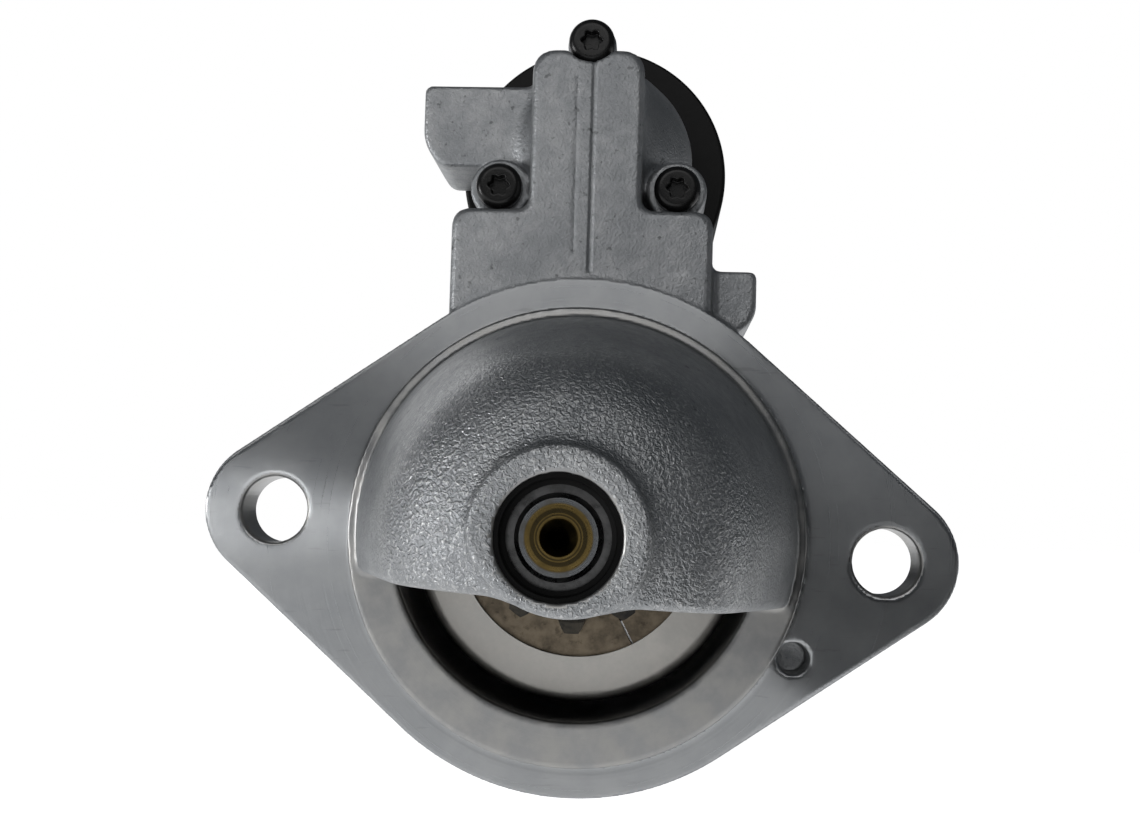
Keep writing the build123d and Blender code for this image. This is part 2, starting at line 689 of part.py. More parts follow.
def end_cap():
    """Small pressed cap over the rear end of the armature shaft."""
    cap = make_face(Polyline(
        (0, 204.0), (14.6, 204.0), (14.6, 193.0), (14.05, 193.0), (13.2, COVER_END + 0.1), (13.0, 202.9),
        (0, 202.9), close=True
    ))
    cap = fillet(cap.vertices().sort_by_distance((14.6, 204.0))[0], 2.0)
    return revolve(cap, Axis.Y)


def hexagon_head(across_flats, y0, y1, x, z):
    return plate(Pos(x, z) * RegularPolygon(across_flats / math.sqrt(3), 6), y0, y1)


def through_bolts():
    """Two long bolts along the outside of the yoke that hold the motor together."""
    bolts = []
    for side in (-1, 1):
        x, z = polar(side * BOLT_RADIUS, EAR_ROLL)
        shank = disc(BOLT_R, 32.0, 190.0, x, z)
        bolts.append(shank + ring(5.6, 1.0, 188.0, 189.2, x, z) + hexagon_head(8.0, 189.0, 193.5, x, z))
    return bolts


# Solenoid ---------------------------------------------------------------------------------------------------


def solenoid_can():
    can = turned([
        (CAN_BORE_R, CAN_FRONT), (CAN_R - 1.2, CAN_FRONT), (CAN_R, CAN_FRONT + 1.2), (CAN_R, CAN_END + 2.5),
        (CAN_R - 1.0, CAN_END + 3.6), (26.0, CAN_END + 3.6), (26.0, CAN_END + 2.2), (26.8, CAN_END + 2.2),
        (26.8, 41.0), (CAN_BORE_R, 41.0),
    ], SOL_Z)
    for angle in SCREW_ANGLES:
        x, z = polar(SCREW_CIRCLE, angle)
        can -= disc(2.5, CAN_FRONT - 1, 42.0, x, SOL_Z + z)
    return can


def solenoid_screws():
    """Three pan-head screws with six-lobe sockets."""
    screws = []
    for angle in SCREW_ANGLES:
        x, z = polar(SCREW_CIRCLE, angle)
        front = SCREW_SEAT - SCREW_HEAD_H
        head = make_face(Polyline(
            (0, front), (SCREW_HEAD_R, front), (SCREW_HEAD_R, SCREW_SEAT), (0, SCREW_SEAT), close=True
        ))
        head = fillet(head.vertices().sort_by_distance((SCREW_HEAD_R, front))[0], 1.5)
        screw = revolve(head, Axis.Y) + disc(2.45, SCREW_SEAT, 40.8)
        socket = Circle(1.75)
        for lobe in range(6):
            socket += Pos(*polar(1.75, 60 * lobe)) * Circle(0.48)
        screw -= plate(socket, front - 0.1, front + 2.2)
        screws.append(Pos(x, 0, SOL_Z + z) * screw)
    return screws


def coil_bobbin():
    return turned([
        (10.7, 41.2), (26.0, 41.2), (26.0, 42.8), (12.2, 42.8), (12.2, 80.4), (26.0, 80.4), (26.0, 82.0),
        (10.7, 82.0),
    ], SOL_Z)


def solenoid_coil():
    return turned([(12.3, 43.0), (25.2, 43.0), (25.2, 80.2), (12.3, 80.2)], SOL_Z)


def solenoid_core():
    return turned([
        (3.1, CORE_FACE), (10.4, CORE_FACE), (10.4, 82.4), (26.7, 82.4), (26.7, CAN_END), (3.1, CAN_END),
    ], SOL_Z)


def plunger():
    """Iron plunger with a slotted neck for the lever and a pocket for the return spring."""
    body = turned([
        (0, 15.0), (6.0, 15.0), (6.6, 15.6), (6.6, 38.5), (PLUNGER_R, 38.5), (PLUNGER_R, PLUNGER_BACK),
        (6.6, PLUNGER_BACK), (6.6, 61.0), (0, 61.0),
    ], SOL_Z)
    body -= block((-2.75, 2.75), (14.0, 31.5), (SOL_Z - 8, SOL_Z + 8))
    body -= Pos(0, plunger_pin_y(), SOL_Z) * Rot(0, 90, 0) * Cylinder(2.0, 20)
    return body - disc(2.5, 52.0, 62.0, 0, SOL_Z)


def plunger_pin_y():
    return PIVOT_Y - (SOL_Z - PIVOT_Z) * math.tan(math.radians(UPPER_ANGLE))


def plunger_pin():
    return Pos(0, plunger_pin_y(), SOL_Z) * Rot(0, 90, 0) * Cylinder(1.98, 12.0)


def contact_rod():
    rod = disc(2.45, 52.2, 98.4, 0, SOL_Z) + disc(5.0, 88.6, 89.6, 0, SOL_Z)
    return rod + disc(3.9, 97.1, 98.0, 0, SOL_Z)


def return_spring():
    return coil(4.9, 0.65, 61.1, CORE_FACE - 0.1, 6, SOL_Z)


def contact_spring():
    return coil(3.9, 0.4, 89.7, BRIDGE_Y[0] - 0.1, 3, SOL_Z)


def contact_bridge():
    strap = SlotCenterToCenter(2 * STUD_OFFSET, 11.0, rotation=90) - Circle(2.8)
    return plate(Pos(0, SOL_Z) * strap, *BRIDGE_Y)


def solenoid_cap():
    """Moulded terminal cap with a tower round each main stud."""
    cap = turned([
        (0, CAP_BACK - 4), (22.0, CAP_BACK - 4), (25.6, CAP_BACK - 8), (25.6, CAN_END + 4.2),
        (26.7, CAN_END + 4.2),
        (26.7, CAN_END + 0.1), (22.5, CAN_END + 0.1), (22.5, CAP_WALL), (0, CAP_WALL),
    ], SOL_Z)
    cap += disc(26.7, CAN_END + 0.05, CAN_END + 2.1, 0, SOL_Z) - disc(22.5, CAN_END, CAN_END + 3, 0, SOL_Z)
    cap -= ring(28.0, 25.9, CAN_END + 2.1, CAN_END + 5, 0, SOL_Z)
    for side in (-1, 1):
        cap += disc(8.6, CAP_BACK - 5, CAP_BACK, 0, SOL_Z + side * STUD_OFFSET)
    cap += disc(6.0, CAP_BACK - 5, CAP_BACK, CONTROL_X, SOL_Z)
    cap += block((-18.0, 18.0), (CAP_BACK - 5, CAP_BACK - 1), (SOL_Z - 1.2, SOL_Z + 1.2))
    for side in (-1, 1):
        cap -= disc(STUD_COLLAR_R + 0.01, CAP_WALL - 1, CAP_BACK + 1, 0, SOL_Z + side * STUD_OFFSET)
    cap -= disc(CONTROL_COLLAR_R + 0.01, CAP_WALL - 1, CAP_BACK + 1, CONTROL_X, SOL_Z)
    return cap - disc(5.2, CAP_WALL - 1, CAP_WALL + 2, 0, SOL_Z)


def main_studs():
    """Battery stud above and motor stud below, each with a flat contact head inside the cap.

    A thicker collar is moulded into the cap. Where the nut sits, the thread is drawn as its pitch
    cylinder; the free end beyond has thread rings.
    """
    studs = []
    for side, nut_end in ((-1, CAP_BACK + COPPER_T + MAIN_NUT_H), (1, CAP_BACK + MAIN_NUT_H)):
        z = SOL_Z + side * STUD_OFFSET
        head = plate(Pos(0, z) * (Circle(7.5) & Rectangle(15.0, 10.4)), 104.0, CAP_WALL)
        collar = disc(STUD_COLLAR_R, CAP_WALL - 1, CAP_BACK, 0, z)
        pitch = disc(STUD_PITCH_R, CAP_BACK - 1, STUD_END, 0, z)
        free_from = nut_end + 0.4
        stud = head + collar + pitch + disc(STUD_R - 0.01, free_from, STUD_END, 0, z)
        for groove in thread_grooves(STUD_R, free_from, STUD_END, 0, z):
            stud -= groove
        studs.append(stud)
    return studs


def control_stud():
    free_from = CAP_BACK + CONTROL_NUT_H + 0.4
    stud = disc(4.0, 105.0, CAP_WALL - 0.05, CONTROL_X, SOL_Z)
    stud += disc(CONTROL_COLLAR_R, CAP_WALL - 1, CAP_BACK, CONTROL_X, SOL_Z)
    stud += disc(CONTROL_PITCH_R, CAP_BACK - 1, CONTROL_END, CONTROL_X, SOL_Z)
    stud += disc(CONTROL_R, free_from, CONTROL_END, CONTROL_X, SOL_Z)
    for groove in thread_grooves(CONTROL_R + 0.02, free_from, CONTROL_END, CONTROL_X, SOL_Z, 0.8):
        stud -= groove
    return stud


def terminal_nuts():
    """Flanged nuts on the three terminals; the motor stud's nut clamps the strap."""
    nuts = []
    main_bore = STUD_PITCH_R + 0.01
    places = [
        (0, SOL_Z + STUD_OFFSET, CAP_BACK, 13.0, MAIN_NUT_H, main_bore),
        (0, SOL_Z - STUD_OFFSET, CAP_BACK + COPPER_T, 13.0, MAIN_NUT_H, main_bore),
        (CONTROL_X, SOL_Z, CAP_BACK, 8.0, CONTROL_NUT_H, CONTROL_PITCH_R + 0.01),
    ]
    for x, z, y, flats, height, hole in places:
        nut = hexagon_head(flats, y, y + height, x, z) + disc(flats * 0.62, y, y + 1.0, x, z)
        nuts.append(nut - disc(hole, y - 1, y + height + 1, x, z))
    return nuts


def motor_lead():
    """Formed copper strap from the motor stud down into the yoke, in the YZ plane, 8 mm wide."""
    low = YOKE_R + 3.6
    t = COPPER_T
    z_top = SOL_Z - STUD_OFFSET
    side = make_face(Polyline(
        (CAP_BACK, z_top), (CAP_BACK + t, z_top), (CAP_BACK + t, 56.0), (CAP_BACK + t + 3, low + t),
        (172.8, low + t), (174.8, low), (174.8, 37.2), (174.8 - t, 37.2), (174.8 - t, low - 0.8),
        (171.8, low), (CAP_BACK + 1.8, low), (CAP_BACK, 55.4), close=True
    ))
    strap = side_plate(side, -4.0, 4.0)
    strap += disc(8.0, CAP_BACK, CAP_BACK + t, 0, z_top)
    return strap - disc(STUD_R + 0.05, CAP_BACK - 1, CAP_BACK + t + 1, 0, z_top)


def lead_grommet():
    body = block((-6.5, 6.5), (166.1, 179.8), (38.9, 42.9))
    body += block((-8.0, 8.0), (165.0, YOKE_END - 0.1), (42.3, 44.8))
    return body - block((-4.1, 4.1), (172.2, 174.9), (30, 50))


# Every piece, in the order that it is listed in the record
PIECES = {
    "drive_end_housing": drive_end_housing,
    "nose_bearing": nose_bearing,
    "nose_seal": nose_seal,
    "output_shaft": output_shaft,
    "stop_ring": stop_ring,
    "snap_ring": snap_ring,
    "planet_pins": planet_pins,
    "ring_gear": ring_gear,
    "support_plate": support_plate,
    "support_bush": support_bush,
    "pinion": pinion,
    "pinion_bushes": pinion_bushes,
    "clutch_driver": clutch_driver,
    "clutch_rollers": clutch_rollers,
    "roller_springs": roller_springs,
    "clutch_cover": clutch_cover,
    "clutch_washer": clutch_washer,
    "driver_clip": driver_clip,
    "guide_ring": guide_ring,
    "meshing_spring": meshing_spring,
    "fork_lever": fork_lever,
    "pivot_pin": pivot_pin,
    "yoke_tube": yoke_tube,
    "magnets": magnets,
    "armature_shaft": armature_shaft,
    "armature_core": armature_core,
    "armature_windings": armature_windings,
    "commutator": commutator,
    "lock_washer": lock_washer,
    "brush_holders": brush_holders,
    "brush_springs": brush_springs,
    "brush_plate": brush_plate,
    "commutator_end_cover": commutator_end_cover,
    "rear_bush": rear_bush,
    "end_cap": end_cap,
    "through_bolts": through_bolts,
    "solenoid_can": solenoid_can,
    "solenoid_screws": solenoid_screws,
    "coil_bobbin": coil_bobbin,
    "solenoid_coil": solenoid_coil,
    "solenoid_core": solenoid_core,
    "plunger": plunger,
    "plunger_pin": plunger_pin,
    "contact_rod": contact_rod,
    "return_spring": return_spring,
    "contact_spring": contact_spring,
    "contact_bridge": contact_bridge,
    "solenoid_cap": solenoid_cap,
    "main_studs": main_studs,
    "control_stud": control_stud,
    "terminal_nuts": terminal_nuts,
    "motor_lead": motor_lead,
    "lead_grommet": lead_grommet,
}


def export(name, shape):
    """Write one node; a list, or a shape in several pieces, becomes a group of separate solids."""
    shapes = shape if isinstance(shape, list) else [shape]
    solids = [solid for item in shapes for solid in item.solids()]
    export_step(solids[0] if len(solids) == 1 else Compound(solids), f"parts/{name}.step")


def main():
    os.makedirs("parts", exist_ok=True)
    for name, make in PIECES.items():
        export(name, make())
    for number, angle in enumerate(PLANET_ANGLES, start=1):
        export(f"planet_gear_{number}", planet_gear(angle))
    for number, angle in enumerate(BRUSH_ANGLES, start=1):
        export(f"brush_{number}", brush(angle))


main()
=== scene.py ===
import json
import math

import bmesh
import bpy
import numpy as np
from mathutils import Matrix, Vector


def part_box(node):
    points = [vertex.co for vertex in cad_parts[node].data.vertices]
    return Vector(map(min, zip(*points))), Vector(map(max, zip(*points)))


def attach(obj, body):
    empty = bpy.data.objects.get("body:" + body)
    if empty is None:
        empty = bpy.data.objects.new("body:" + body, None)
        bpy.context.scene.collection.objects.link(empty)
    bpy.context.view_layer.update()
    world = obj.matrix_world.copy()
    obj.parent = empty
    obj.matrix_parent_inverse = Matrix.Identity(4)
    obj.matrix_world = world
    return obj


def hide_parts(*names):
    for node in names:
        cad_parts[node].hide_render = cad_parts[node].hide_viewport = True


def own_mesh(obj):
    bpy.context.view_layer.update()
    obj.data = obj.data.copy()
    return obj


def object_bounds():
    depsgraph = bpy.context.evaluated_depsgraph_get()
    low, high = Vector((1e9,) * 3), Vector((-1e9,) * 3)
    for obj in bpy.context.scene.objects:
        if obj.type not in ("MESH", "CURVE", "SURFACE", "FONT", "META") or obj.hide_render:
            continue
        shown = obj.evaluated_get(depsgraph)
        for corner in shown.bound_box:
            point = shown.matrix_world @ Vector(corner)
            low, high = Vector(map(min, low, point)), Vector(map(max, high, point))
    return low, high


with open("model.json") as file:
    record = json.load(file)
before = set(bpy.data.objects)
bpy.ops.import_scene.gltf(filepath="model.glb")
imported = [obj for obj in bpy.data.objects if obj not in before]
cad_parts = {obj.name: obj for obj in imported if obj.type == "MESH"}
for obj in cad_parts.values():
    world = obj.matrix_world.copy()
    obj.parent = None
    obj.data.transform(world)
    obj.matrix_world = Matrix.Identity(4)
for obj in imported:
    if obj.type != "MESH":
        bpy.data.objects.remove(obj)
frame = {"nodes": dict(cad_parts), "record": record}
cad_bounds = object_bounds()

# The row frame: the motor axis is Y, the nose points to -Y, the solenoid is at +Z. Shapes are written in
# millimetres and turned into metres when their mesh is made.
MM = 0.001


def box_mm(node):
    """Lowest and highest corner of a CAD node, in millimetres."""
    low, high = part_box(node)
    return np.array(low) / MM, np.array(high) / MM


# Main places, read from the frame
CAN_LOW, CAN_HIGH = box_mm("solenoid_can")
SOL_Z = (CAN_LOW[2] + CAN_HIGH[2]) / 2
CAN_FRONT = CAN_LOW[1]
CAN_END = CAN_HIGH[1]
CAN_R = (CAN_HIGH[0] - CAN_LOW[0]) / 2
YOKE_LOW, YOKE_HIGH = box_mm("yoke_tube")
YOKE_R = (YOKE_HIGH[0] - YOKE_LOW[0]) / 2
BODY_END = YOKE_LOW[1]
YOKE_END = YOKE_HIGH[1]
HOUSING_LOW, HOUSING_HIGH = box_mm("drive_end_housing")
NOSE_FRONT = HOUSING_LOW[1]
SPIGOT_END = HOUSING_HIGH[1]

# Flange and hood, as the CAD housing has them
PILOT = [m for m in frame["record"]["mounts"] if m["name"] == "pilot"][0]
HOLES = [m for m in frame["record"]["mounts"] if m["name"] == "mounting_holes"][0]
LOCATING = [m for m in frame["record"]["mounts"] if m["name"] == "locating_hole"][0]
PILOT_R = PILOT["dims"]["r_mm"]
PILOT_FRONT = -PILOT["dims"]["length_mm"]
HOLE_OFFSET = HOLES["dims"]["pcd_mm"] / 2
HOLE_R = HOLES["dims"]["hole_r_mm"]
FLANGE_T = 12.0
FLANGE_R = 51.0
EAR_R = 14.0
EAR_ROLL = math.radians(-3.3)
WINDOW_R = 35.6
BORE_R = 36.0
BOSS_R = 14.5
BOSS_BACK = -46.0
BOSS_LOW_R = 16.8
BOSS_LOW_X, BOSS_LOW_Z = 1.5, 4.3
NOSE_BORE_R = 10.0
HOOD_CUT = -10.3
BODY_R = YOKE_R
SPIGOT_R = 38.95
BOLT_RADIUS = 46.8
CHAMBER_FRONT = 0.5
SEAT_R = 21.5
SCREW_CIRCLE = 20.5
SCREW_ANGLES = (90.0, 208.0, 332.0)
SCREW_SEAT = 7.5
PIVOT_Y = 31.0
PIVOT_Z = 52.0
LEVER_HALF_SPACE = 7.6
BOLT_BOSS_R = 6.0

# Terminals, fasteners and the lead
CAP_BACK = 118.0
STUD_OFFSET = 13.0
STUD_END = 142.0
STUD_R = 3.99
CONTROL_X = 16.5
CONTROL_STUD_R = 2.48
CONTROL_END = 131.0
SCREW_HEAD_R = 4.7
SCREW_HEAD_HEIGHT = 3.4
BOLT_R = 2.95
BOLT_HEAD_BACK = 193.5
WASHER_FRONT = 188.0
WASHER_BACK = 189.0
LEAD_T = 2.5
LEAD_STUD_Z = 67.0
LEAD_HALF_WIDTH = 4.0


def polar(radius, degrees):
    return radius * math.cos(math.radians(degrees)), radius * math.sin(math.radians(degrees))


def rolled(x, z):
    """Coordinates along and across the line of the two ears."""
    c, s = math.cos(EAR_ROLL), math.sin(EAR_ROLL)
    return x * c + z * s, z * c - x * s


def ear_places(radius):
    """The (x, z) places at this radius on the line of the two ears."""
    return [(x, -z) for x, z in (rolled(side * radius, 0) for side in (-1, 1))]


SCREW_PLACES = [(x, SOL_Z + z) for x, z in (polar(SCREW_CIRCLE, angle) for angle in SCREW_ANGLES)]


# Shapes as signed distances
# A shape is (distance function of open x, y, z grids, lowest corner, highest corner), all in millimetres.


def smooth_min(a, b, soft):
    if soft <= 0:
        return np.minimum(a, b)
    nearness = np.maximum(soft - np.abs(a - b), 0) / soft
    return np.minimum(a, b) - nearness * nearness * soft / 4


def smooth_max(a, b, soft):
    return -smooth_min(-a, -b, soft)


def capped(flat, y, y0, y1, edge):
    """Distance to a flat outline extruded from y0 to y1, with its edges rounded."""
    across = flat + edge
    along = np.abs(y - (y0 + y1) / 2) - (y1 - y0) / 2 + edge
    outside = np.sqrt(np.maximum(across, 0) ** 2 + np.maximum(along, 0) ** 2)
    return np.minimum(np.maximum(across, along), 0) + outside - edge


def rod(radius, y0, y1, x0=0.0, z0=0.0, edge=0.4):
    def distance(x, y, z):
        return capped(np.hypot(x - x0, z - z0) - radius, y, y0, y1, edge)
    return distance, (x0 - radius, y0, z0 - radius), (x0 + radius, y1, z0 + radius)


def cross_rod(radius, x0, x1, y0, z0):
    """Cylinder along X."""
    def distance(x, y, z):
        return np.maximum(np.hypot(y - y0, z - z0) - radius, np.abs(x - (x0 + x1) / 2) - (x1 - x0) / 2)
    return distance, (x0, y0 - radius, z0 - radius), (x1, y0 + radius, z0 + radius)


def brick(xs, ys, zs, edge=0.5):
    low = np.array([xs[0], ys[0], zs[0]], float)
    high = np.array([xs[1], ys[1], zs[1]], float)
    middle, half = (low + high) / 2, (high - low) / 2

    def distance(x, y, z):
        q = [np.abs(v - m) - h + edge for v, m, h in zip((x, y, z), middle, half)]
        outside = np.sqrt(sum(np.maximum(v, 0) ** 2 for v in q))
        return np.minimum(np.maximum(np.maximum(q[0], q[1]), q[2]), 0) + outside - edge
    return distance, low, high


def convex(points, soft=0.5):
    """Flat distance to a convex outline of counter-clockwise points."""
    points = np.array(points, float)

    def flat(u, v):
        result = None
        for (u0, v0), (u1, v1) in zip(points, np.roll(points, -1, axis=0)):
            length = math.hypot(u1 - u0, v1 - v0)
            side = ((u - u0) * (v1 - v0) - (v - v0) * (u1 - u0)) / length
            result = side if result is None else -smooth_min(-result, -side, soft)
        return result
    return flat


def prism(points, y0, y1, soft=0.8, edge=0.6):
    """Convex outline in X and Z extruded along Y."""
    flat = convex(points, soft)
    xs, zs = zip(*points)

    def distance(x, y, z):
        return capped(flat(x, z), y, y0, y1, edge)
    return distance, (min(xs), y0, min(zs)), (max(xs), y1, max(zs))


def lathe_shape(points, x0=0.0, z0=0.0, soft=0.5):
    """Convex outline of (radius, y) points, turned about an axis along Y."""
    flat = convex(points, soft)
    radius = max(p[0] for p in points)
    ys = [p[1] for p in points]

    def distance(x, y, z):
        return flat(np.hypot(x - x0, z - z0), y)
    return distance, (x0 - radius, min(ys), z0 - radius), (x0 + radius, max(ys), z0 + radius)


class Casting:
    """Grid of signed distances that shapes are blended into and cut from."""

    def __init__(self, low, high, step):
        self.step = step
        self.axes = [np.arange(a - step * 2.37, b + step * 3, step) for a, b in zip(low, high)]
        self.values = np.full([len(a) for a in self.axes], 20.0, np.float32)

    def zone(self, low, high, margin):
        spans = []
        for axis, a, b in zip(self.axes, low, high):
            first = max(int(np.searchsorted(axis, a - margin)) - 1, 0)
            last = min(int(np.searchsorted(axis, b + margin)) + 1, len(axis))
            spans.append(slice(first, last))
        x, y, z = (axis[span].astype(np.float32) for axis, span in zip(self.axes, spans))
        return tuple(spans), x[:, None, None], y[None, :, None], z[None, None, :]

    def add(self, shape, soft=0.0, sign=1):
        distance, low, high = shape
        spans, x, y, z = self.zone(low, high, soft + 3 * self.step)
        self.values[spans] = sign * smooth_min(sign * self.values[spans], distance(x, y, z), soft)

    def cut(self, shape, soft=0.0):
        self.add(shape, soft, -1)

    def net(self):
        """Vertices and quads of the zero level, one vertex in each cell that the surface crosses."""
        values = self.values
        inside = values < 0
        cells = [n - 1 for n in values.shape]
        count = np.zeros(cells, np.uint8)
        offsets = [(i, j, k) for i in (0, 1) for j in (0, 1) for k in (0, 1)]
        for i, j, k in offsets:
            count += inside[i:i + cells[0], j:j + cells[1], k:k + cells[2]]
        mixed = (count > 0) & (count < 8)
        at = np.argwhere(mixed)
        corner = np.stack([values[at[:, 0] + i, at[:, 1] + j, at[:, 2] + k] for i, j, k in offsets], 1)
        total = np.zeros((len(at), 3))
        crossings = np.zeros(len(at))
        for a in range(8):
            for b in range(a + 1, 8):
                step = np.subtract(offsets[b], offsets[a])
                if np.abs(step).sum() != 1:
                    continue
                crossed = (corner[:, a] < 0) != (corner[:, b] < 0)
                share = corner[crossed, a] / (corner[crossed, a] - corner[crossed, b])
                total[crossed] += np.array(offsets[a]) + share[:, None] * step
                crossings[crossed] += 1
        origin = np.array([axis[0] for axis in self.axes])
        points = (at + total / crossings[:, None]) * self.step + origin
        number = np.full(cells, -1, np.int32)
        number[mixed] = np.arange(len(at))
        quads = []
        for axis in range(3):
            u, v = (axis + 1) % 3, (axis + 2) % 3
            first = [slice(1, -1)] * 3
            second = [slice(1, -1)] * 3
            first[axis], second[axis] = slice(0, -1), slice(1, None)
            here, there = inside[tuple(first)], inside[tuple(second)]
            edge = np.argwhere(here != there)
            leaving = here[tuple(edge.T)]
            base = edge + 1
            base[:, axis] -= 1
            ring = []
            for du, dv in ((0, 0), (1, 0), (1, 1), (0, 1)):
                cell = base.copy()
                cell[:, u] -= du
                cell[:, v] -= dv
                ring.append(number[tuple(cell.T)])
            ring = np.stack(ring, 1)
            ring[~leaving] = ring[~leaving][:, ::-1]
            quads.append(ring)
        return points, np.concatenate(quads)


def net_of(shape, step):
    """Points and quads of one shape on a grid of its own."""
    casting = Casting(shape[1], shape[2], step)
    casting.add(shape)
    return casting.net()


def linked(name, mesh):
    """New object in the scene that holds a mesh."""
    obj = bpy.data.objects.new(name, mesh)
    bpy.context.scene.collection.objects.link(obj)
    return obj


def from_bmesh(name, bm):
    """New object in the scene from a bmesh, which is freed."""
    mesh = bpy.data.meshes.new(name)
    bm.to_mesh(mesh)
    bm.free()
    return linked(name, mesh)


def make_mesh(name, points, faces):
    """New object from points in millimetres and quads given as rows of four indices."""
    mesh = bpy.data.meshes.new(name)
    mesh.vertices.add(len(points))
    mesh.vertices.foreach_set("co", (np.asarray(points) * MM).astype(np.float32).ravel())
    mesh.loops.add(faces.size)
    mesh.loops.foreach_set("vertex_index", faces.astype(np.int32).ravel())
    mesh.polygons.add(len(faces))
    mesh.polygons.foreach_set("loop_start", np.arange(0, faces.size, faces.shape[1], dtype=np.int32))
    mesh.update(calc_edges=True)
    return linked(name, mesh)


def settle(obj, triangles=None):
    """Thin the mesh out to a triangle budget and give it normals weighted by face area."""
    count = len(obj.data.polygons) * 2
    if triangles and count > triangles:
        thin = obj.modifiers.new("thin", "DECIMATE")
        thin.ratio = triangles / count
    obj.data.polygons.foreach_set("use_smooth", [True] * len(obj.data.polygons))
    normals = obj.modifiers.new("normals", "WEIGHTED_NORMAL")
    normals.keep_sharp = True
    depsgraph = bpy.context.evaluated_depsgraph_get()
    mesh = bpy.data.meshes.new_from_object(
        obj.evaluated_get(depsgraph), preserve_all_data_layers=True, depsgraph=depsgraph
    )
    obj.modifiers.clear()
    obj.data = mesh
    return obj


def cast(name, casting, triangles=None):
    """Object from a casting."""
    return settle(make_mesh(name, *casting.net()), triangles)


def rounded(points, radius, steps=4):
    """Closed outline with each corner replaced by a short arc."""
    result = []
    count = len(points)
    for index in range(count):
        corner = Vector(points[index])
        before = Vector(points[index - 1]) - corner
        after = Vector(points[(index + 1) % count]) - corner
        reach = min(radius, before.length * 0.4, after.length * 0.4)
        start = corner + before.normalized() * reach
        end = corner + after.normalized() * reach
        for step in range(steps + 1):
            t = step / steps
            result.append(tuple(start * (1 - t) ** 2 + corner * 2 * t * (1 - t) + end * t * t))
    return result


def ring_quads(rings, segments, spans):
    """Quads over this many spans between rings of points; the last ring leads back to the first."""
    row = np.arange(spans)[:, None]
    column = np.arange(segments)[None, :]
    next_row, next_column = (row + 1) % rings, (column + 1) % segments
    quad = [row * segments + column, row * segments + next_column,
            next_row * segments + next_column, next_row * segments + column]
    return np.stack(np.broadcast_arrays(*quad), -1).reshape(-1, 4)


def lathe_part(outline, radius=0.2, segments=56):
    """Points and quads of one closed (radius, y) outline turned about the Y axis."""
    ring = rounded(outline, radius)
    turn = np.arange(segments) * 2 * math.pi / segments
    points = [np.stack([r * np.cos(turn), np.full(segments, y), r * np.sin(turn)], 1) for r, y in ring]
    return np.concatenate(points), ring_quads(len(ring), segments, len(ring))


def lathe(name, outline, z0, segments, radius):
    """Object from a closed (radius, y) outline turned about an axis along Y at the height z0."""
    points, faces = lathe_part(outline, radius, segments)
    obj = make_mesh(name, points + np.array((0, 0, z0)), faces)
    tidy_shell(obj)
    return settle(obj)


def joined(name, parts, triangles=None):
    """One object from several (points, quads, offset) parts."""
    points, faces, first = [], [], 0
    for part_points, part_faces, offset in parts:
        points.append(part_points + np.array(offset, float))
        faces.append(part_faces + first)
        first += len(part_points)
    return settle(make_mesh(name, np.concatenate(points), np.concatenate(faces)), triangles)


def tidy_shell(obj):
    """Merge points that fall together, drop the flat faces this leaves, and turn normals outward."""
    bm = bmesh.new()
    bm.from_mesh(obj.data)
    bmesh.ops.remove_doubles(bm, verts=bm.verts, dist=1e-7)
    bmesh.ops.dissolve_degenerate(bm, edges=bm.edges, dist=1e-8)
    bmesh.ops.recalc_face_normals(bm, faces=bm.faces)
    bm.to_mesh(obj.data)
    bm.free()


def threaded(radius, y0, y1, thread_from, pitch, depth, segments=56):
    """Points and quads of a stud with a helical thread, chamfered at its end."""
    turn = np.arange(segments) / segments
    angle = turn * 2 * math.pi
    ys = np.concatenate([[y0, y0], np.linspace(y0, thread_from, 4)[1:],
                         np.arange(thread_from, y1, pitch / 10)[1:], [y1, y1]])
    points = []
    for index, y in enumerate(ys):
        phase = (y / pitch - turn) % 1.0
        cut = depth * np.abs(2 * phase - 1) ** 1.2
        lead_in = np.clip((y - thread_from) / pitch, 0, 1)
        r = radius - cut * lead_in
        r = np.minimum(r, radius - depth * 0.9 + (y1 - y) * 1.1)
        if index in (0, len(ys) - 1):
            r = np.zeros(segments)
        points.append(np.stack([r * np.cos(angle), np.full(segments, y), r * np.sin(angle)], 1))
    return np.concatenate(points), ring_quads(len(ys), segments, len(ys) - 1)[:, [0, 3, 2, 1]]


def stand_in(obj, body, slot, *nodes):
    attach(obj, body)
    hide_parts(*nodes)
    return obj


# Drive-end housing


def flange_outline(x, z):
    """Distance to the round flange with its two tapering ears."""
    along, across = rolled(x, z)
    slope = (FLANGE_R - EAR_R) / HOLE_OFFSET
    rise = math.sqrt(1 - slope * slope)
    p, q = np.abs(across), np.abs(along)
    side = rise * q - slope * p
    near = np.hypot(p, q) - FLANGE_R
    far = np.hypot(p, q - HOLE_OFFSET) - EAR_R
    middle = p * rise + q * slope - FLANGE_R
    return np.where(side < 0, near, np.where(side > rise * HOLE_OFFSET, far, middle))


def hood_shape():
    """Half dome over the pinion, cut away below along the line of the ears."""
    outer = convex([(-10, -58.5), (16, -58.5), (29, -50.5), (43.7, PILOT_FRONT), (43.7, 0.5),
                    (-10, 0.5)], 5.0)
    inner = convex([(-10, BOSS_BACK), (20, BOSS_BACK), (24, -44), (WINDOW_R, -9), (WINDOW_R, 3),
                    (-10, 3)], 3.0)

    def distance(x, y, z):
        r = np.hypot(x, z)
        shell = smooth_max(outer(r, y), -inner(r, y), 0.8)
        return smooth_max(shell, HOOD_CUT - rolled(x, z)[1], 1.6)
    return distance, (-44, -59, -14), (44, 1, 44)


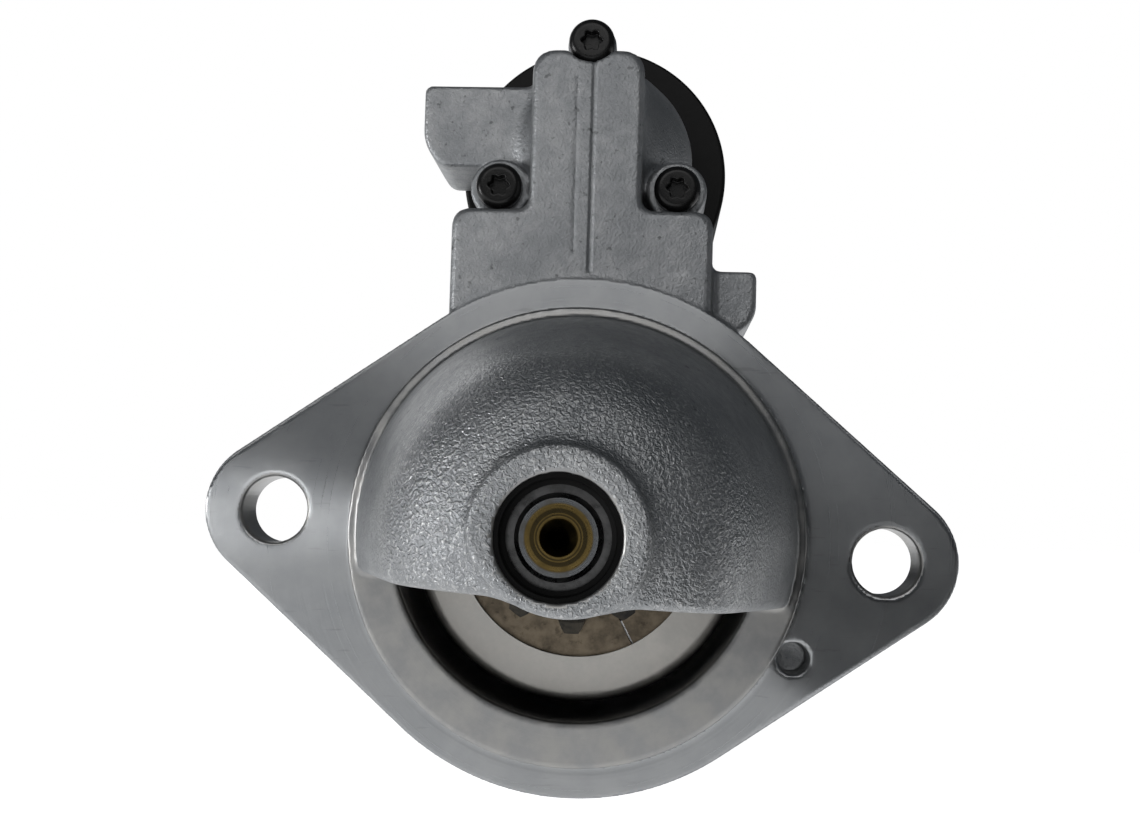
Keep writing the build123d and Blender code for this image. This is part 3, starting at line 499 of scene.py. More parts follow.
def chamber_outline(x, z):
    """Wide block with the narrow column above it, seen from the front."""
    block = convex([(-27, 30), (25.4, 30), (25.4, 65), (-27, 65)], 4.0)
    column = convex([(-11.6, 40), (11.0, 40), (11.0, 97.6), (-11.6, 97.6)], 5.0)
    return smooth_min(block(x, z), column(x, z), 3.0)


def housing_casting(step):
    """Drive-end casting: flange, barrel, lever chamber, hood and nose boss, with its bores cut."""
    body = Casting(HOUSING_LOW, HOUSING_HIGH, step)
    ears = ear_places(BOLT_RADIUS)
    back = CAN_FRONT + 3

    def flange(x, y, z):
        return capped(flange_outline(x, z), y, 0.0, FLANGE_T, 0.5)
    body.add((flange, (-76, 0, -52), (76, FLANGE_T, 52)))

    def barrel(x, y, z):
        flat = np.hypot(x, z) - BODY_R
        for x0, z0 in ears:
            flat = smooth_min(flat, np.hypot(x - x0, z - z0) - BOLT_BOSS_R, 3.0)
        round_part = capped(np.hypot(x, z) - BODY_R, y, 1.0, BODY_END, 0.4)
        return np.minimum(round_part, capped(flat, y, FLANGE_T - 4, BODY_END, 0.8))
    body.add((barrel, (-54, 1, -46), (54, BODY_END, 46)), 4.0)

    # Lever chamber with its column, screw bosses, conical seat and lugs
    def chamber(x, y, z):
        return capped(chamber_outline(x, z), y, CHAMBER_FRONT, back, 1.6)
    body.add((chamber, (-28, CHAMBER_FRONT, 30), (27, back, 98)), 0.3)
    seat = [(-9, 9), (13, 9), (20, 19), (SEAT_R, 22), (SEAT_R, back), (-9, back)]
    body.add(lathe_shape(seat, 0, SOL_Z, 2.0), 3.0)
    left_lug = [(-31.6, 76), (-8, 76), (-8, 93), (-35, 93), (-35, 81)]
    body.add(prism(left_lug, 12.0, back, 1.6, 0.9), 2.5)
    right_lug = [(10, 41.4), (31.5, 41.4), (34.4, 44.5), (34.4, 53.6), (10, 53.6)]
    body.add(prism(right_lug, 4.0, 34.0, 1.6, 0.9), 2.0)
    for angle, (x, z) in zip(SCREW_ANGLES, SCREW_PLACES):
        boss_r = 5.0 if angle == 90.0 else 6.1
        body.add(rod(boss_r, SCREW_SEAT, back, x, z, 0.7), 1.6)
    body.cut(brick((-60, 60), (CAN_FRONT, 60), (SOL_Z - CAN_R - 0.5, 110), 0.1), 0.0)
    body.add(brick((-12, 12), (30, 50.5), (34, SOL_Z - CAN_R - 0.6), 1.2), 2.0)
    # Mould line down the column
    line_top = 92.0
    body.cut(brick((0.6, 1.3), (-2, CHAMBER_FRONT + 0.6), (52, 99), 0.1))
    body.cut(brick((1.3, 40), (-2, CHAMBER_FRONT + 0.14), (52, line_top), 0.1))
    body.cut(brick((-2.8, -2.3), (-2, CHAMBER_FRONT + 0.2), (56, line_top), 0.1))

    # Pilot, spigot and the bores
    body.add(rod(PILOT_R, PILOT_FRONT, 2.0, edge=0.6), 0.4)
    body.add(rod(SPIGOT_R, BODY_END - 4, SPIGOT_END, edge=0.5))
    body.cut(rod(BORE_R, PILOT_FRONT + 3, SPIGOT_END + 4, edge=0.1), 0.6)
    body.cut(rod(WINDOW_R, PILOT_FRONT - 4, PILOT_FRONT + 4, edge=0.1), 0.9)
    body.add(hood_shape(), 0.6)

    def nose_boss(x, y, z):
        underside = np.hypot(x - BOSS_LOW_X, z - BOSS_LOW_Z) - BOSS_LOW_R
        return capped(smooth_max(np.hypot(x, z) - BOSS_R, underside, 0.8), y, NOSE_FRONT, BOSS_BACK, 0.9)
    body.add((nose_boss, (-BOSS_R, NOSE_FRONT, -BOSS_R), (BOSS_R, BOSS_BACK, BOSS_R)), 3.0)
    body.cut(rod(NOSE_BORE_R, NOSE_FRONT - 4, BOSS_BACK - 1.5, edge=0.1), 0.7)
    body.cut(rod(9.0, BOSS_BACK - 4, BOSS_BACK + 4, edge=0.1))

    # Mounting holes, locating hole and bolt threads
    for x, z in ear_places(HOLE_OFFSET):
        body.cut(rod(HOLE_R, -4, FLANGE_T + 4, x, z, 0.1), 0.9)
    hole_x, _, hole_z = (value / MM for value in LOCATING["pos_m"])
    body.cut(rod(LOCATING["dims"]["r_mm"], -4, LOCATING["dims"]["length_mm"], hole_x, hole_z, 0.3), 0.5)
    for x, z in ears:
        body.cut(rod(3.0, 30, BODY_END + 4, x, z, 0.1), 0.4)

    # Lever space
    space = (-LEVER_HALF_SPACE, LEVER_HALF_SPACE)
    body.cut(brick(space, (5, CAN_FRONT + 4), (33, 92), 0.6))
    body.cut(brick(space, (5, 46.5), (33, 45.5), 0.6))
    body.cut(rod(8.0, 5, CAN_FRONT + 4, 0, SOL_Z, 0.4))
    body.cut(cross_rod(3.0, -30, 14, PIVOT_Y, PIVOT_Z), 0.4)
    for x, z in SCREW_PLACES:
        body.cut(rod(2.7, 3, CAN_FRONT + 4, x, z, 0.1))
        body.cut(rod(5.4, CHAMBER_FRONT - 4, SCREW_SEAT, x, z, 0.3), 0.5)
    return body


def paint_housing(obj):
    """Turned faces get their own slots: 1 the flange face, 2 the pilot, bores and other cut faces."""
    mesh = obj.data
    count = len(mesh.polygons)
    normal, centre = np.empty(count * 3, np.float32), np.empty(count * 3, np.float32)
    mesh.polygons.foreach_get("normal", normal)
    mesh.polygons.foreach_get("center", centre)
    normal, centre = normal.reshape(-1, 3), centre.reshape(-1, 3) / MM
    x, y, z = centre.T
    r = np.hypot(x, z)
    inward = (normal[:, 0] * x + normal[:, 2] * z) / np.maximum(r, 1e-6)
    index = np.zeros(count, np.int32)
    index[(np.abs(y) < 0.12) & (normal[:, 1] < -0.95) & (r > PILOT_R)] = 1
    pilot = (y < 0.3) & (y > PILOT_FRONT - 0.2) & (r > PILOT_R - 1.0) & (r < PILOT_R + 0.5)
    ring_face = (np.abs(y - PILOT_FRONT) < 0.3) & (normal[:, 1] < -0.5)
    bores = (inward < -0.5) & (r < BORE_R + 0.4) & (y > PILOT_FRONT)
    holes = np.zeros(count, bool)
    for hole_x, hole_z in ear_places(HOLE_OFFSET):
        holes |= (np.hypot(x - hole_x, z - hole_z) < HOLE_R + 0.9) & (y > 0.05)
    back = (np.abs(y - FLANGE_T) < 0.1) & (np.abs(r - HOLE_OFFSET) < 9.5) & (normal[:, 1] > 0.9)
    spigot = (y > BODY_END - 0.05) & (r < SPIGOT_R + 0.2)
    seat = (np.abs(y - CAN_FRONT) < 0.1) & (z > 50)
    nose = (r < NOSE_BORE_R + 0.6) & (inward < -0.3) & (y < BOSS_BACK)
    index[(pilot & ~(index == 1)) | ring_face | bores | holes | spigot | seat | nose | back] = 2
    mesh.polygons.foreach_set("material_index", index)


# Materials


class Shader:
    """One procedural material; places are in millimetres of the row frame."""

    def __init__(self, name):
        self.material = bpy.data.materials.new(name)
        self.material.use_nodes = True
        self.tree = self.material.node_tree
        self.surface = self.tree.nodes["Principled BSDF"]
        coordinates = self.tree.nodes.new("ShaderNodeTexCoord")
        self.place = self.vector("SCALE", coordinates.outputs["Object"], scale=1 / MM)

    def put(self, socket, value):
        """Link a socket to another node's output, or give it a plain value."""
        if isinstance(value, bpy.types.NodeSocket):
            self.tree.links.new(value, socket)
        else:
            socket.default_value = value

    def node(self, kind, inputs=(), **settings):
        made = self.tree.nodes.new("ShaderNode" + kind)
        for key, value in settings.items():
            setattr(made, key, value)
        for key, value in dict(inputs).items():
            self.put(made.inputs[key], value)
        return made

    def vector(self, operation, a, b=None, scale=None):
        inputs = {0: a}
        if b is not None:
            inputs[1] = b
        if scale is not None:
            inputs["Scale"] = scale
        made = self.node("VectorMath", inputs, operation=operation)
        return made.outputs["Value"] if operation in ("LENGTH", "DOT_PRODUCT") else made.outputs["Vector"]

    def math(self, operation, a, b=0.0, clamp=False):
        return self.node("Math", {0: a, 1: b}, operation=operation, use_clamp=clamp).outputs[0]

    def noise(self, size, detail=3.0, rough=0.55, stretch=(1, 1, 1), distortion=0.0):
        """Noise whose blobs are about size millimetres across."""
        place = self.vector("MULTIPLY", self.place, stretch)
        return self.node("TexNoise", {
            "Vector": place, "Scale": 1 / size, "Detail": detail, "Roughness": rough,
            "Distortion": distortion,
        }).outputs["Fac"]

    def rings(self, along, scale, detail, rough):
        """Noise that changes with one distance only."""
        return self.node("TexNoise", {"W": along, "Scale": scale, "Detail": detail, "Roughness": rough},
                         noise_dimensions="1D").outputs["Fac"]

    def spread(self, value, low, high, to_low=0.0, to_high=1.0):
        return self.node("MapRange", {
            "Value": value, "From Min": low, "From Max": high, "To Min": to_low, "To Max": to_high,
        }, interpolation_type="SMOOTHSTEP").outputs["Result"]

    def blend(self, amount, a, b):
        made = self.node("Mix", {"Factor": amount}, data_type="RGBA")
        for socket, value in ((made.inputs[6], a), (made.inputs[7], b)):
            self.put(socket, (*value, 1.0) if isinstance(value, tuple) else value)
        return made.outputs[2]

    def set(self, **values):
        for key, value in values.items():
            self.put(self.surface.inputs[key.replace("_", " ")], value)

    def two_tone(self, patches, dark, pale):
        return self.blend(self.spread(patches, 0.3, 0.7), dark, pale)

    def finish(self, colour, patches, rough, metallic=1.0, **more):
        """Base colour, with a roughness between two values that follows the patches."""
        rough = self.spread(patches, 0.3, 0.7, *rough)
        self.set(Base_Color=colour, Roughness=rough, Metallic=metallic, **more)

    def relief(self, *layers):
        """Bumps stacked on each other: (height from 0 to 1, depth in millimetres)."""
        normal = None
        for height, depth in layers:
            inputs = {"Height": height, "Distance": depth * MM, "Strength": 1.0}
            if normal:
                inputs["Normal"] = normal
            normal = self.node("Bump", inputs).outputs["Normal"]
        self.set(Normal=normal)

    def split(self):
        made = self.node("SeparateXYZ", {0: self.place})
        return made.outputs[0], made.outputs[1], made.outputs[2]

    def from_axis(self):
        """Distance from the motor axis in millimetres."""
        return self.vector("LENGTH", self.vector("MULTIPLY", self.place, (1, 0, 1)))

    def outward(self):
        """Direction away from the motor axis, across the tool marks of a turned face."""
        return self.vector("NORMALIZE", self.vector("MULTIPLY", self.place, (1, 0, 1)))


def grey(value, blue=0.0):
    return (value * (1 - blue), value, value * (1 + blue))


def cast_metal():
    """Die cast aluminium: blasted grain, soft blotches, dirt specks and paler worn edges, with painted glints
    on the grain of the front shoulder.
    """
    shader = Shader("cast_aluminium")
    _, y, _ = shader.split()
    blotch = shader.noise(14, 4, 0.6)
    fine = shader.noise(2.2, 4, 0.65, distortion=0.4)
    speck = shader.spread(shader.noise(1.6, 2, 0.5), 0.66, 0.74)
    colour = shader.blend(shader.spread(blotch, 0.35, 0.68), grey(0.24, 0.035), grey(0.32, 0.02))
    colour = shader.blend(shader.spread(fine, 0.3, 0.75, 0.0, 0.35), colour, grey(0.20, 0.05))
    colour = shader.blend(shader.math("MULTIPLY", speck, 0.55), colour, grey(0.06, 0.03))
    edge = shader.node("NewGeometry").outputs["Pointiness"]
    colour = shader.blend(shader.spread(edge, 0.54, 0.62, 0.0, 0.5), colour, grey(0.48))
    shoulder = shader.spread(y, -26.0, -44.0)
    rough = shader.math("SUBTRACT", shader.spread(fine, 0.25, 0.75, 0.42, 0.56),
                        shader.math("MULTIPLY", shoulder, 0.10))
    grain = shader.noise(0.62, 2.0, 0.5, distortion=0.5)
    coarse = shader.math("MULTIPLY", grain, shader.math("MULTIPLY_ADD", shoulder, 0.90), clamp=True)
    # Painted highlight: pale glints on the grain, only on the front shoulder of the hood.
    painted_glint = shader.math("MULTIPLY", shader.spread(grain, 0.54, 0.68), shoulder)
    colour = shader.blend(shader.math("MULTIPLY", painted_glint, 0.45), colour, grey(0.62))
    shader.set(Base_Color=colour, Roughness=rough, Metallic=0.88)
    shader.relief((blotch, 0.10), (coarse, 0.30), (shader.noise(0.5, 2, 0.6), 0.03))
    return shader.material


def turned_face():
    """Lathe-turned flange face: fine rings, long scratches, brightness that runs along the radius."""
    shader = Shader("turned_aluminium")
    radius = shader.from_axis()
    rings = shader.rings(radius, 2.6, 4.0, 0.7)
    blotch = shader.noise(11, 4, 0.6)
    scratch = shader.spread(shader.noise(7, 3, 0.6, stretch=(0.5, 1, 4.5)), 0.62, 0.70)
    colour = shader.two_tone(blotch, grey(0.31, 0.03), grey(0.36, 0.02))
    colour = shader.blend(shader.math("MULTIPLY", scratch, 0.30), colour, grey(0.18))
    rough = shader.math("ADD", rings, shader.math("MULTIPLY", blotch, 0.4))
    rough = shader.spread(rough, 0.4, 1.0, 0.27, 0.36)
    shader.set(Base_Color=colour, Roughness=rough, Metallic=1.0, Anisotropic=1.0, Tangent=shader.outward())
    shader.relief((rings, 0.010), (blotch, 0.006))
    return shader.material


def bored_face():
    """Other machined faces of the casting: pilot, bores, holes and seats."""
    shader = Shader("machined_aluminium")
    radius = shader.from_axis()
    _, y, _ = shader.split()
    rings = shader.rings(shader.math("ADD", radius, y), 3.0, 4.0, 0.7)
    blotch = shader.noise(6, 4, 0.6)
    colour = shader.two_tone(blotch, grey(0.23, 0.01), (0.30, 0.297, 0.288))
    shader.finish(colour, blotch, (0.30, 0.42))
    shader.relief((rings, 0.012), (blotch, 0.02))
    return shader.material


def metal(name, dark, pale, rough, blotch=5.0, lay=None, metallic=1.0, relief=0.012, dirt=0.25, **more):
    """Worked metal: two tones in soft blotches, tool marks round or along Y, and a little grime."""
    shader = Shader(name)
    patches = shader.noise(blotch, 4, 0.6)
    colour = shader.blend(shader.spread(patches, 0.32, 0.68), dark, pale)
    grime = shader.spread(shader.noise(blotch * 0.4, 3, 0.6), 0.56, 0.72, 0.0, dirt)
    colour = shader.blend(grime, colour, tuple(c * 0.35 for c in dark))
    marks = shader.noise(0.6, 3, 0.6, stretch=lay or (1, 1, 1))
    roughness = shader.math("ADD", patches, shader.math("MULTIPLY", marks, 0.5))
    roughness = shader.spread(roughness, 0.5, 1.0, *rough)
    shader.set(Base_Color=colour, Roughness=roughness, Metallic=metallic, **more)
    shader.relief((patches, relief), (marks, relief * 0.6))
    return shader.material


def paint(name, colour, rough, peel=1.6, depth=0.03, wear=0.0, **more):
    """Satin coating or moulded plastic with orange peel, dust and rubbed edges."""
    shader = Shader(name)
    ripple = shader.noise(peel, 3, 0.5)
    dust = shader.spread(shader.noise(18, 5, 0.65), 0.42, 0.75, 0.0, 0.35)
    tone = shader.blend(dust, colour, tuple(c * 1.9 + 0.006 for c in colour))
    if wear:
        edge = shader.spread(shader.node("NewGeometry").outputs["Pointiness"], 0.53, 0.60, 0.0, wear)
        tone = shader.blend(edge, tone, grey(0.16))
    shader.set(Base_Color=tone, Roughness=shader.spread(dust, 0.0, 0.35, *rough), **more)
    shader.relief((ripple, depth), (shader.noise(0.35, 2, 0.5), depth * 0.35))
    return shader.material


def shaft_metal():
    """Ground steel; its end is oily brown and blue, with painted shade darkening the middle of the end."""
    shader = Shader("steel")
    _, y, _ = shader.split()
    radius = shader.from_axis()
    patches = shader.noise(3.0, 4, 0.65)
    colour = shader.two_tone(patches, grey(0.46), grey(0.62, 0.01))
    rings = shader.rings(radius, 1.1, 3.0, 0.6)
    oil_tint_and_shade = shader.blend(shader.spread(rings, 0.42, 0.58), (0.12, 0.085, 0.03), (0.03, 0.024, 0.012))
    oil_tint_and_shade = shader.blend(shader.spread(radius, 5.2, 5.6), oil_tint_and_shade, (0.11, 0.115, 0.12))
    # Painted shade: darker towards the middle of the end and near black at its centre, for the hollow of the
    # centre drilling.
    oil_tint_and_shade = shader.blend(shader.spread(radius, 3.2, 2.6), oil_tint_and_shade, (0.020, 0.016, 0.006))
    oil_tint_and_shade = shader.blend(shader.spread(radius, 1.9, 1.5), oil_tint_and_shade, (0.003, 0.003, 0.002))
    oil_tint_and_shade = shader.blend(shader.spread(patches, 0.45, 0.70, 0.0, 0.4), oil_tint_and_shade, (0.045, 0.032, 0.012))
    end = shader.math("MULTIPLY", shader.spread(y, -55.5, -56.0),
                      shader.spread(radius, 7.2, 5.8, 0.75, 1.0))
    colour = shader.blend(end, colour, oil_tint_and_shade)
    shader.finish(colour, patches, (0.22, 0.36))
    shader.relief((rings, 0.03), (shader.noise(0.8, 3, 0.6), 0.008))
    return shader.material


def cover_metal():
    """Pressed clutch cover: plated steel, warm and dull, with painted shade darkening it towards its rolled
    rim.
    """
    shader = Shader("zinc_cover")
    radius = shader.from_axis()
    patches = shader.noise(7, 4, 0.6)
    colour = shader.two_tone(patches, (0.40, 0.39, 0.37), (0.52, 0.505, 0.475))
    # Painted shade: near black over the outer edge of the face, where the rolled rim turns away into the
    # housing.
    colour = shader.blend(shader.spread(radius, 31.9, 33.1, 0.0, 0.90), colour, (0.02, 0.018, 0.012))
    shader.finish(colour, patches, (0.38, 0.50), 0.9)
    shader.relief((patches, 0.04), (shader.noise(0.8, 3, 0.6), 0.012))
    return shader.material


def windings_metal():
    """Enamelled copper wire: close turns seen as ridges round the coil."""
    shader = Shader("enamelled_copper")
    _, y, _ = shader.split()
    turns = shader.math("ABSOLUTE", shader.math("SINE", shader.math("MULTIPLY", y, 3.6)))
    patches = shader.noise(4, 3, 0.6)
    colour = shader.two_tone(patches, (0.30, 0.085, 0.03), (0.50, 0.17, 0.06))
    # Painted shade: dark lines in the grooves between the turns.
    colour = shader.blend(shader.spread(turns, 0.35, 0.0, 0.0, 0.8), colour, (0.05, 0.015, 0.01))
    shader.finish(colour, patches, (0.25, 0.4), 0.6, Coat_Weight=0.4)
    shader.relief((turns, 0.25))
    return shader.material


def lamination_metal():
    """Stacked sheets: fine lines across the armature's length."""
    shader = Shader("lamination")
    _, y, _ = shader.split()
    sheets = shader.math("ABSOLUTE", shader.math("SINE", shader.math("MULTIPLY", y, math.pi / 0.65)))
    patches = shader.noise(6, 4, 0.6)
    colour = shader.two_tone(patches, grey(0.22), (0.34, 0.33, 0.31))
    colour = shader.blend(shader.spread(sheets, 0.3, 0.0, 0.0, 0.7), colour, grey(0.05))
    shader.finish(colour, patches, (0.4, 0.55), 0.9)
    shader.relief((sheets, 0.05))
    return shader.material


materials = {
    "cast_aluminium": cast_metal(),
    "steel": shaft_metal(),
    "dark_steel": metal("dark_steel", grey(0.055), grey(0.10), (0.25, 0.42), 3.0),
    "zinc_steel": metal("zinc_steel", (0.50, 0.50, 0.47), (0.70, 0.70, 0.66), (0.26, 0.40), 4.0),
    "tan_steel": metal("tan_steel", (0.085, 0.07, 0.052), (0.20, 0.165, 0.12), (0.36, 0.52), 3.5, dirt=0.5,
                       relief=0.03),
    "black_paint": paint("black_paint", grey(0.004), (0.42, 0.58), wear=0.04, Specular_IOR_Level=0.14),
    "black_screw": paint("black_screw", grey(0.004), (0.26, 0.42), 0.8, 0.012, Specular_IOR_Level=0.25),
    "copper": metal("copper", (0.52, 0.22, 0.11), (0.80, 0.42, 0.26), (0.22, 0.42), 5.0, dirt=0.4),
    "enamelled_copper": windings_metal(),
    "bronze": metal("bronze", (0.42, 0.26, 0.11), (0.58, 0.39, 0.18), (0.38, 0.52), 2.5, relief=0.03),
    "sheet_brass": metal("sheet_brass", (0.58, 0.43, 0.17), (0.76, 0.60, 0.28), (0.25, 0.40), 5.0),
    "ferrite": metal("ferrite", grey(0.045), grey(0.08), (0.5, 0.65), 6.0, metallic=0.2),
    "lamination": lamination_metal(),
    "carbon": metal("carbon", grey(0.02), (0.055, 0.045, 0.04), (0.5, 0.7), 2.0, metallic=0.2, relief=0.03),
    "rubber": paint("rubber", grey(0.003), (0.52, 0.66), 1.0, 0.02, Specular_IOR_Level=0.05),
    "black_plastic": paint("black_plastic", grey(0.016), (0.42, 0.58), 0.9, 0.03),
    "grey_plastic": paint("grey_plastic", grey(0.20, 0.03), (0.40, 0.55), 0.9, 0.03),
    "spring_steel": metal("spring_steel", grey(0.30), grey(0.46), (0.25, 0.4), 2.0),
}
turned_material = turned_face()
bored_material = bored_face()
cover_material = cover_metal()
pinion_material = metal("oiled_steel", grey(0.014), (0.042, 0.038, 0.031), (0.32, 0.48), 3.0, dirt=0.5,
                        relief=0.03)

node_slots = {part["node"]: part["material_slot"] for part in frame["record"]["subparts"]}
for node, obj in frame["nodes"].items():
    for place in obj.material_slots:
        place.material = materials[node_slots[node]]
for node, material in (("clutch_cover", cover_material), ("pinion", pinion_material)):
    for place in frame["nodes"][node].material_slots:
        place.material = material


def dress(obj, body, nodes, *extra):
    """Give a detailed piece its materials and let it stand for its CAD nodes."""
    slot = node_slots[nodes[0]]
    corners = [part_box(node) for node in nodes]
    low = np.min([corner[0] for corner in corners], 0)
    high = np.max([corner[1] for corner in corners], 0)
    points = np.empty(len(obj.data.vertices) * 3, np.float32)
    obj.data.vertices.foreach_get("co", points)
    points = np.clip(points.reshape(-1, 3), low, high)
    obj.data.vertices.foreach_set("co", points.ravel())
    for material in (materials[slot], *extra):
        obj.data.materials.append(material)
    return stand_in(obj, body, slot, *nodes)


# Pieces

HOUSING_STEP = 0.55
housing = cast("drive_end_housing_cast", housing_casting(HOUSING_STEP), 190000)
dress(housing, "housing", ["drive_end_housing"], turned_material, bored_material)
paint_housing(housing)

CAN_SEGMENTS = 192
can = lathe("solenoid_can_shell", [
    (10.6, CAN_FRONT), (CAN_R, CAN_FRONT), (CAN_R, CAN_END - 2.2), (CAN_R - 0.5, CAN_END - 1.8),
    (CAN_R - 0.5, CAN_END), (26.0, CAN_END), (26.0, CAN_END - 1.4), (26.8, CAN_END - 1.4), (26.8, 41.0),
    (10.6, 41.0),
], SOL_Z, CAN_SEGMENTS, 0.9)
dress(can, "housing", ["solenoid_can"])

yoke = lathe("yoke_tube_shell", [
    (YOKE_R, BODY_END), (YOKE_R, YOKE_END), (39.0, YOKE_END), (39.0, BODY_END),
], 0.0, CAN_SEGMENTS, 0.6)

# Notch in the yoke's edge for the lead's grommet
bm = bmesh.new()
bmesh.ops.create_cube(bm, size=1.0)
bmesh.ops.scale(bm, verts=bm.verts, vec=Vector((13.2, 20.0, 20.0)) * MM)
bmesh.ops.translate(bm, verts=bm.verts, vec=Vector((0, 176.0, 40.0)) * MM)
cutter = from_bmesh("notch", bm)
notch = yoke.modifiers.new("notch", "BOOLEAN")
notch.object = cutter
notch.operation = "DIFFERENCE"
notch.solver = "EXACT"
bpy.context.view_layer.update()
settle(yoke)
bpy.data.objects.remove(cutter)
dress(yoke, "housing", ["yoke_tube"])


def end_cover_casting(step):
    """Cast cover over the commutator end, with bolt ears and six ribs."""
    low, high = box_mm("commutator_end_cover")
    cover = Casting(low, high, step)
    ears = ear_places(BOLT_RADIUS)
    crown = [(-9, YOKE_END), (YOKE_R, YOKE_END), (YOKE_R, 188.0), (39.0, 191.0), (-9, 191.0)]
    cover.add(lathe_shape(crown, soft=1.6))
    cover.add(rod(13.6, 186, high[1], edge=1.0), 3.0)
    for x, z in ears:
        cover.add(rod(BOLT_BOSS_R, YOKE_END, 187.9, x, z, 0.7), 3.0)
    for index in range(6):
        angle = math.radians(30 + 60 * index)
        c, s = math.cos(angle), math.sin(angle)

        def rib(x, y, z, c=c, s=s):
            along, across = x * c + z * s, z * c - x * s
            flat = np.maximum(np.abs(across) - 1.2, np.abs(along - 24.5) - 11.5)
            return np.maximum(flat, np.abs(y - 189.0) - 3.4)
        cover.add((rib, (-37, 186, -37), (37, 192.6, 37)), 1.4)
    inner = [(-9, YOKE_END - 4), (38.8, YOKE_END - 4), (38.8, 185.0), (35.0, 187.5), (-9, 187.5)]
    cover.cut(lathe_shape(inner, soft=0.8))
    cover.add(rod(13.2, 183, 190, edge=0.5), 1.5)
    cover.cut(rod(9.0, 180, high[1] + 4, edge=0.1), 0.4)
    for x, z in ears:
        cover.cut(rod(3.3, YOKE_END - 4, 193, x, z, 0.1), 0.3)
        cover.cut(rod(6.6, 187.9, 200, x, z, 0.2), 0.3)
    cover.cut(brick((-6.6, 6.6), (YOKE_END - 4, 180), (30, 50), 0.1))
    return cover


COVER_STEP = 0.5
end_cover = cast("commutator_end_cover_cast", end_cover_casting(COVER_STEP), 90000)
dress(end_cover, "housing", ["commutator_end_cover"])

cap_low, cap_high = box_mm("end_cap")
cap_shell = lathe("end_cap_shell", [
    (0.0, cap_high[1]), (14.6, cap_high[1]), (14.6, cap_low[1]), (14.05, cap_low[1]), (13.25, 198.15),
    (13.2, cap_high[1] - 1.1), (0.0, cap_high[1] - 1.1),
], 0.0, 120, 1.6)
dress(cap_shell, "housing", ["end_cap"])


def solenoid_cap_casting(step):
    """Moulded terminal cap with a tower round each stud and a web between them."""
    low, high = box_mm("solenoid_cap")
    cap = Casting(low, high, step)
    start = low[1]
    crown = [(-9, start + 2), (25.6, start + 2), (25.6, CAP_BACK - 8), (22.0, CAP_BACK - 4),
             (-9, CAP_BACK - 4)]
    cap.add(lathe_shape(crown, 0, SOL_Z, 1.2))
    cap.add(rod(26.7, start, start + 2.1, 0, SOL_Z, 0.3))
    cap.add(rod(26.7, start + 2, start + 4.1, 0, SOL_Z, 0.3))
    for z in (SOL_Z - STUD_OFFSET, SOL_Z + STUD_OFFSET):
        cap.add(rod(8.6, CAP_BACK - 8, CAP_BACK, 0, z, 0.7), 1.6)
    cap.add(rod(6.0, CAP_BACK - 8, CAP_BACK, CONTROL_X, SOL_Z, 0.6), 1.4)
    cap.add(brick((-18, 18), (CAP_BACK - 7, CAP_BACK - 1), (SOL_Z - 1.2, SOL_Z + 1.2), 0.5), 1.0)
    cap.cut(rod(22.5, start - 4, 108.0, 0, SOL_Z, 0.6), 0.4)
    for z in (SOL_Z - STUD_OFFSET, SOL_Z + STUD_OFFSET):
        cap.cut(rod(4.0, 100, 130, 0, z, 0.1), 0.3)
    cap.cut(rod(2.5, 100, 130, CONTROL_X, SOL_Z, 0.1), 0.3)
    cap.cut(rod(5.2, 100, 110, 0, SOL_Z, 0.3))
    return cap


CAP_STEP = 0.38
terminal_cap = cast("solenoid_cap_moulding", solenoid_cap_casting(CAP_STEP), 70000)
dress(terminal_cap, "housing", ["solenoid_cap"])


def hexagon(across_flats, y0, y1, flange_r=0.0, bore=0.0):
    """Hexagon prism chamfered at its corners, centred on the Y axis."""
    flat_r = across_flats / 2

    def distance(x, y, z):
        r = np.hypot(x, z)
        sides = None
        for index in range(3):
            a = math.radians(60 * index + 30)
            side = np.abs(x * math.cos(a) + z * math.sin(a)) - flat_r
            sides = side if sides is None else smooth_max(sides, side, 0.25)
        shape = smooth_max(capped(sides, y, y0, y1, 0.15), (r - flat_r - (y1 - y) * 1.7) * 0.5, 0.15)
        if flange_r:
            skirt = capped(r - flange_r + np.maximum(y - y0 - 0.4, 0) * 1.2, y, y0, y0 + 1.6, 0.15)
            shape = smooth_min(shape, skirt, 0.5)
        if bore:
            shape = smooth_max(shape, bore - r, 0.2)
            shape = np.maximum(shape, (bore + 0.5 - r - np.maximum(y1 - y, 0)) * 0.7)
        return shape
    reach = max(flat_r * 1.16, flange_r)
    return distance, (-reach, y0, -reach), (reach, y1, reach)


FINE = 0.17
main_nut = net_of(hexagon(13.0, CAP_BACK, CAP_BACK + 5.6, 8.0, 3.55), FINE)
control_nut = net_of(hexagon(8.0, CAP_BACK, CAP_BACK + 3.6, 4.9, 2.2), FINE * 0.8)
nut_places = [(*main_nut, (0, 0, SOL_Z + STUD_OFFSET)), (*main_nut, (0, LEAD_T, SOL_Z - STUD_OFFSET)),
              (*control_nut, (CONTROL_X, 0, SOL_Z))]
nuts = joined("terminal_nuts_hex", nut_places, 60000)
dress(nuts, "housing", ["terminal_nuts"])


def contact_head():
    """Flat-sided copper head of a main stud inside the cap."""
    def distance(x, y, z):
        flat = smooth_max(np.hypot(x, z) - 7.5, np.abs(z) - 5.2, 0.3)
        return capped(flat, y, 104.0, 108.0, 0.3)
    return distance, (-7.5, 104, -5.2), (7.5, 108, 5.2)


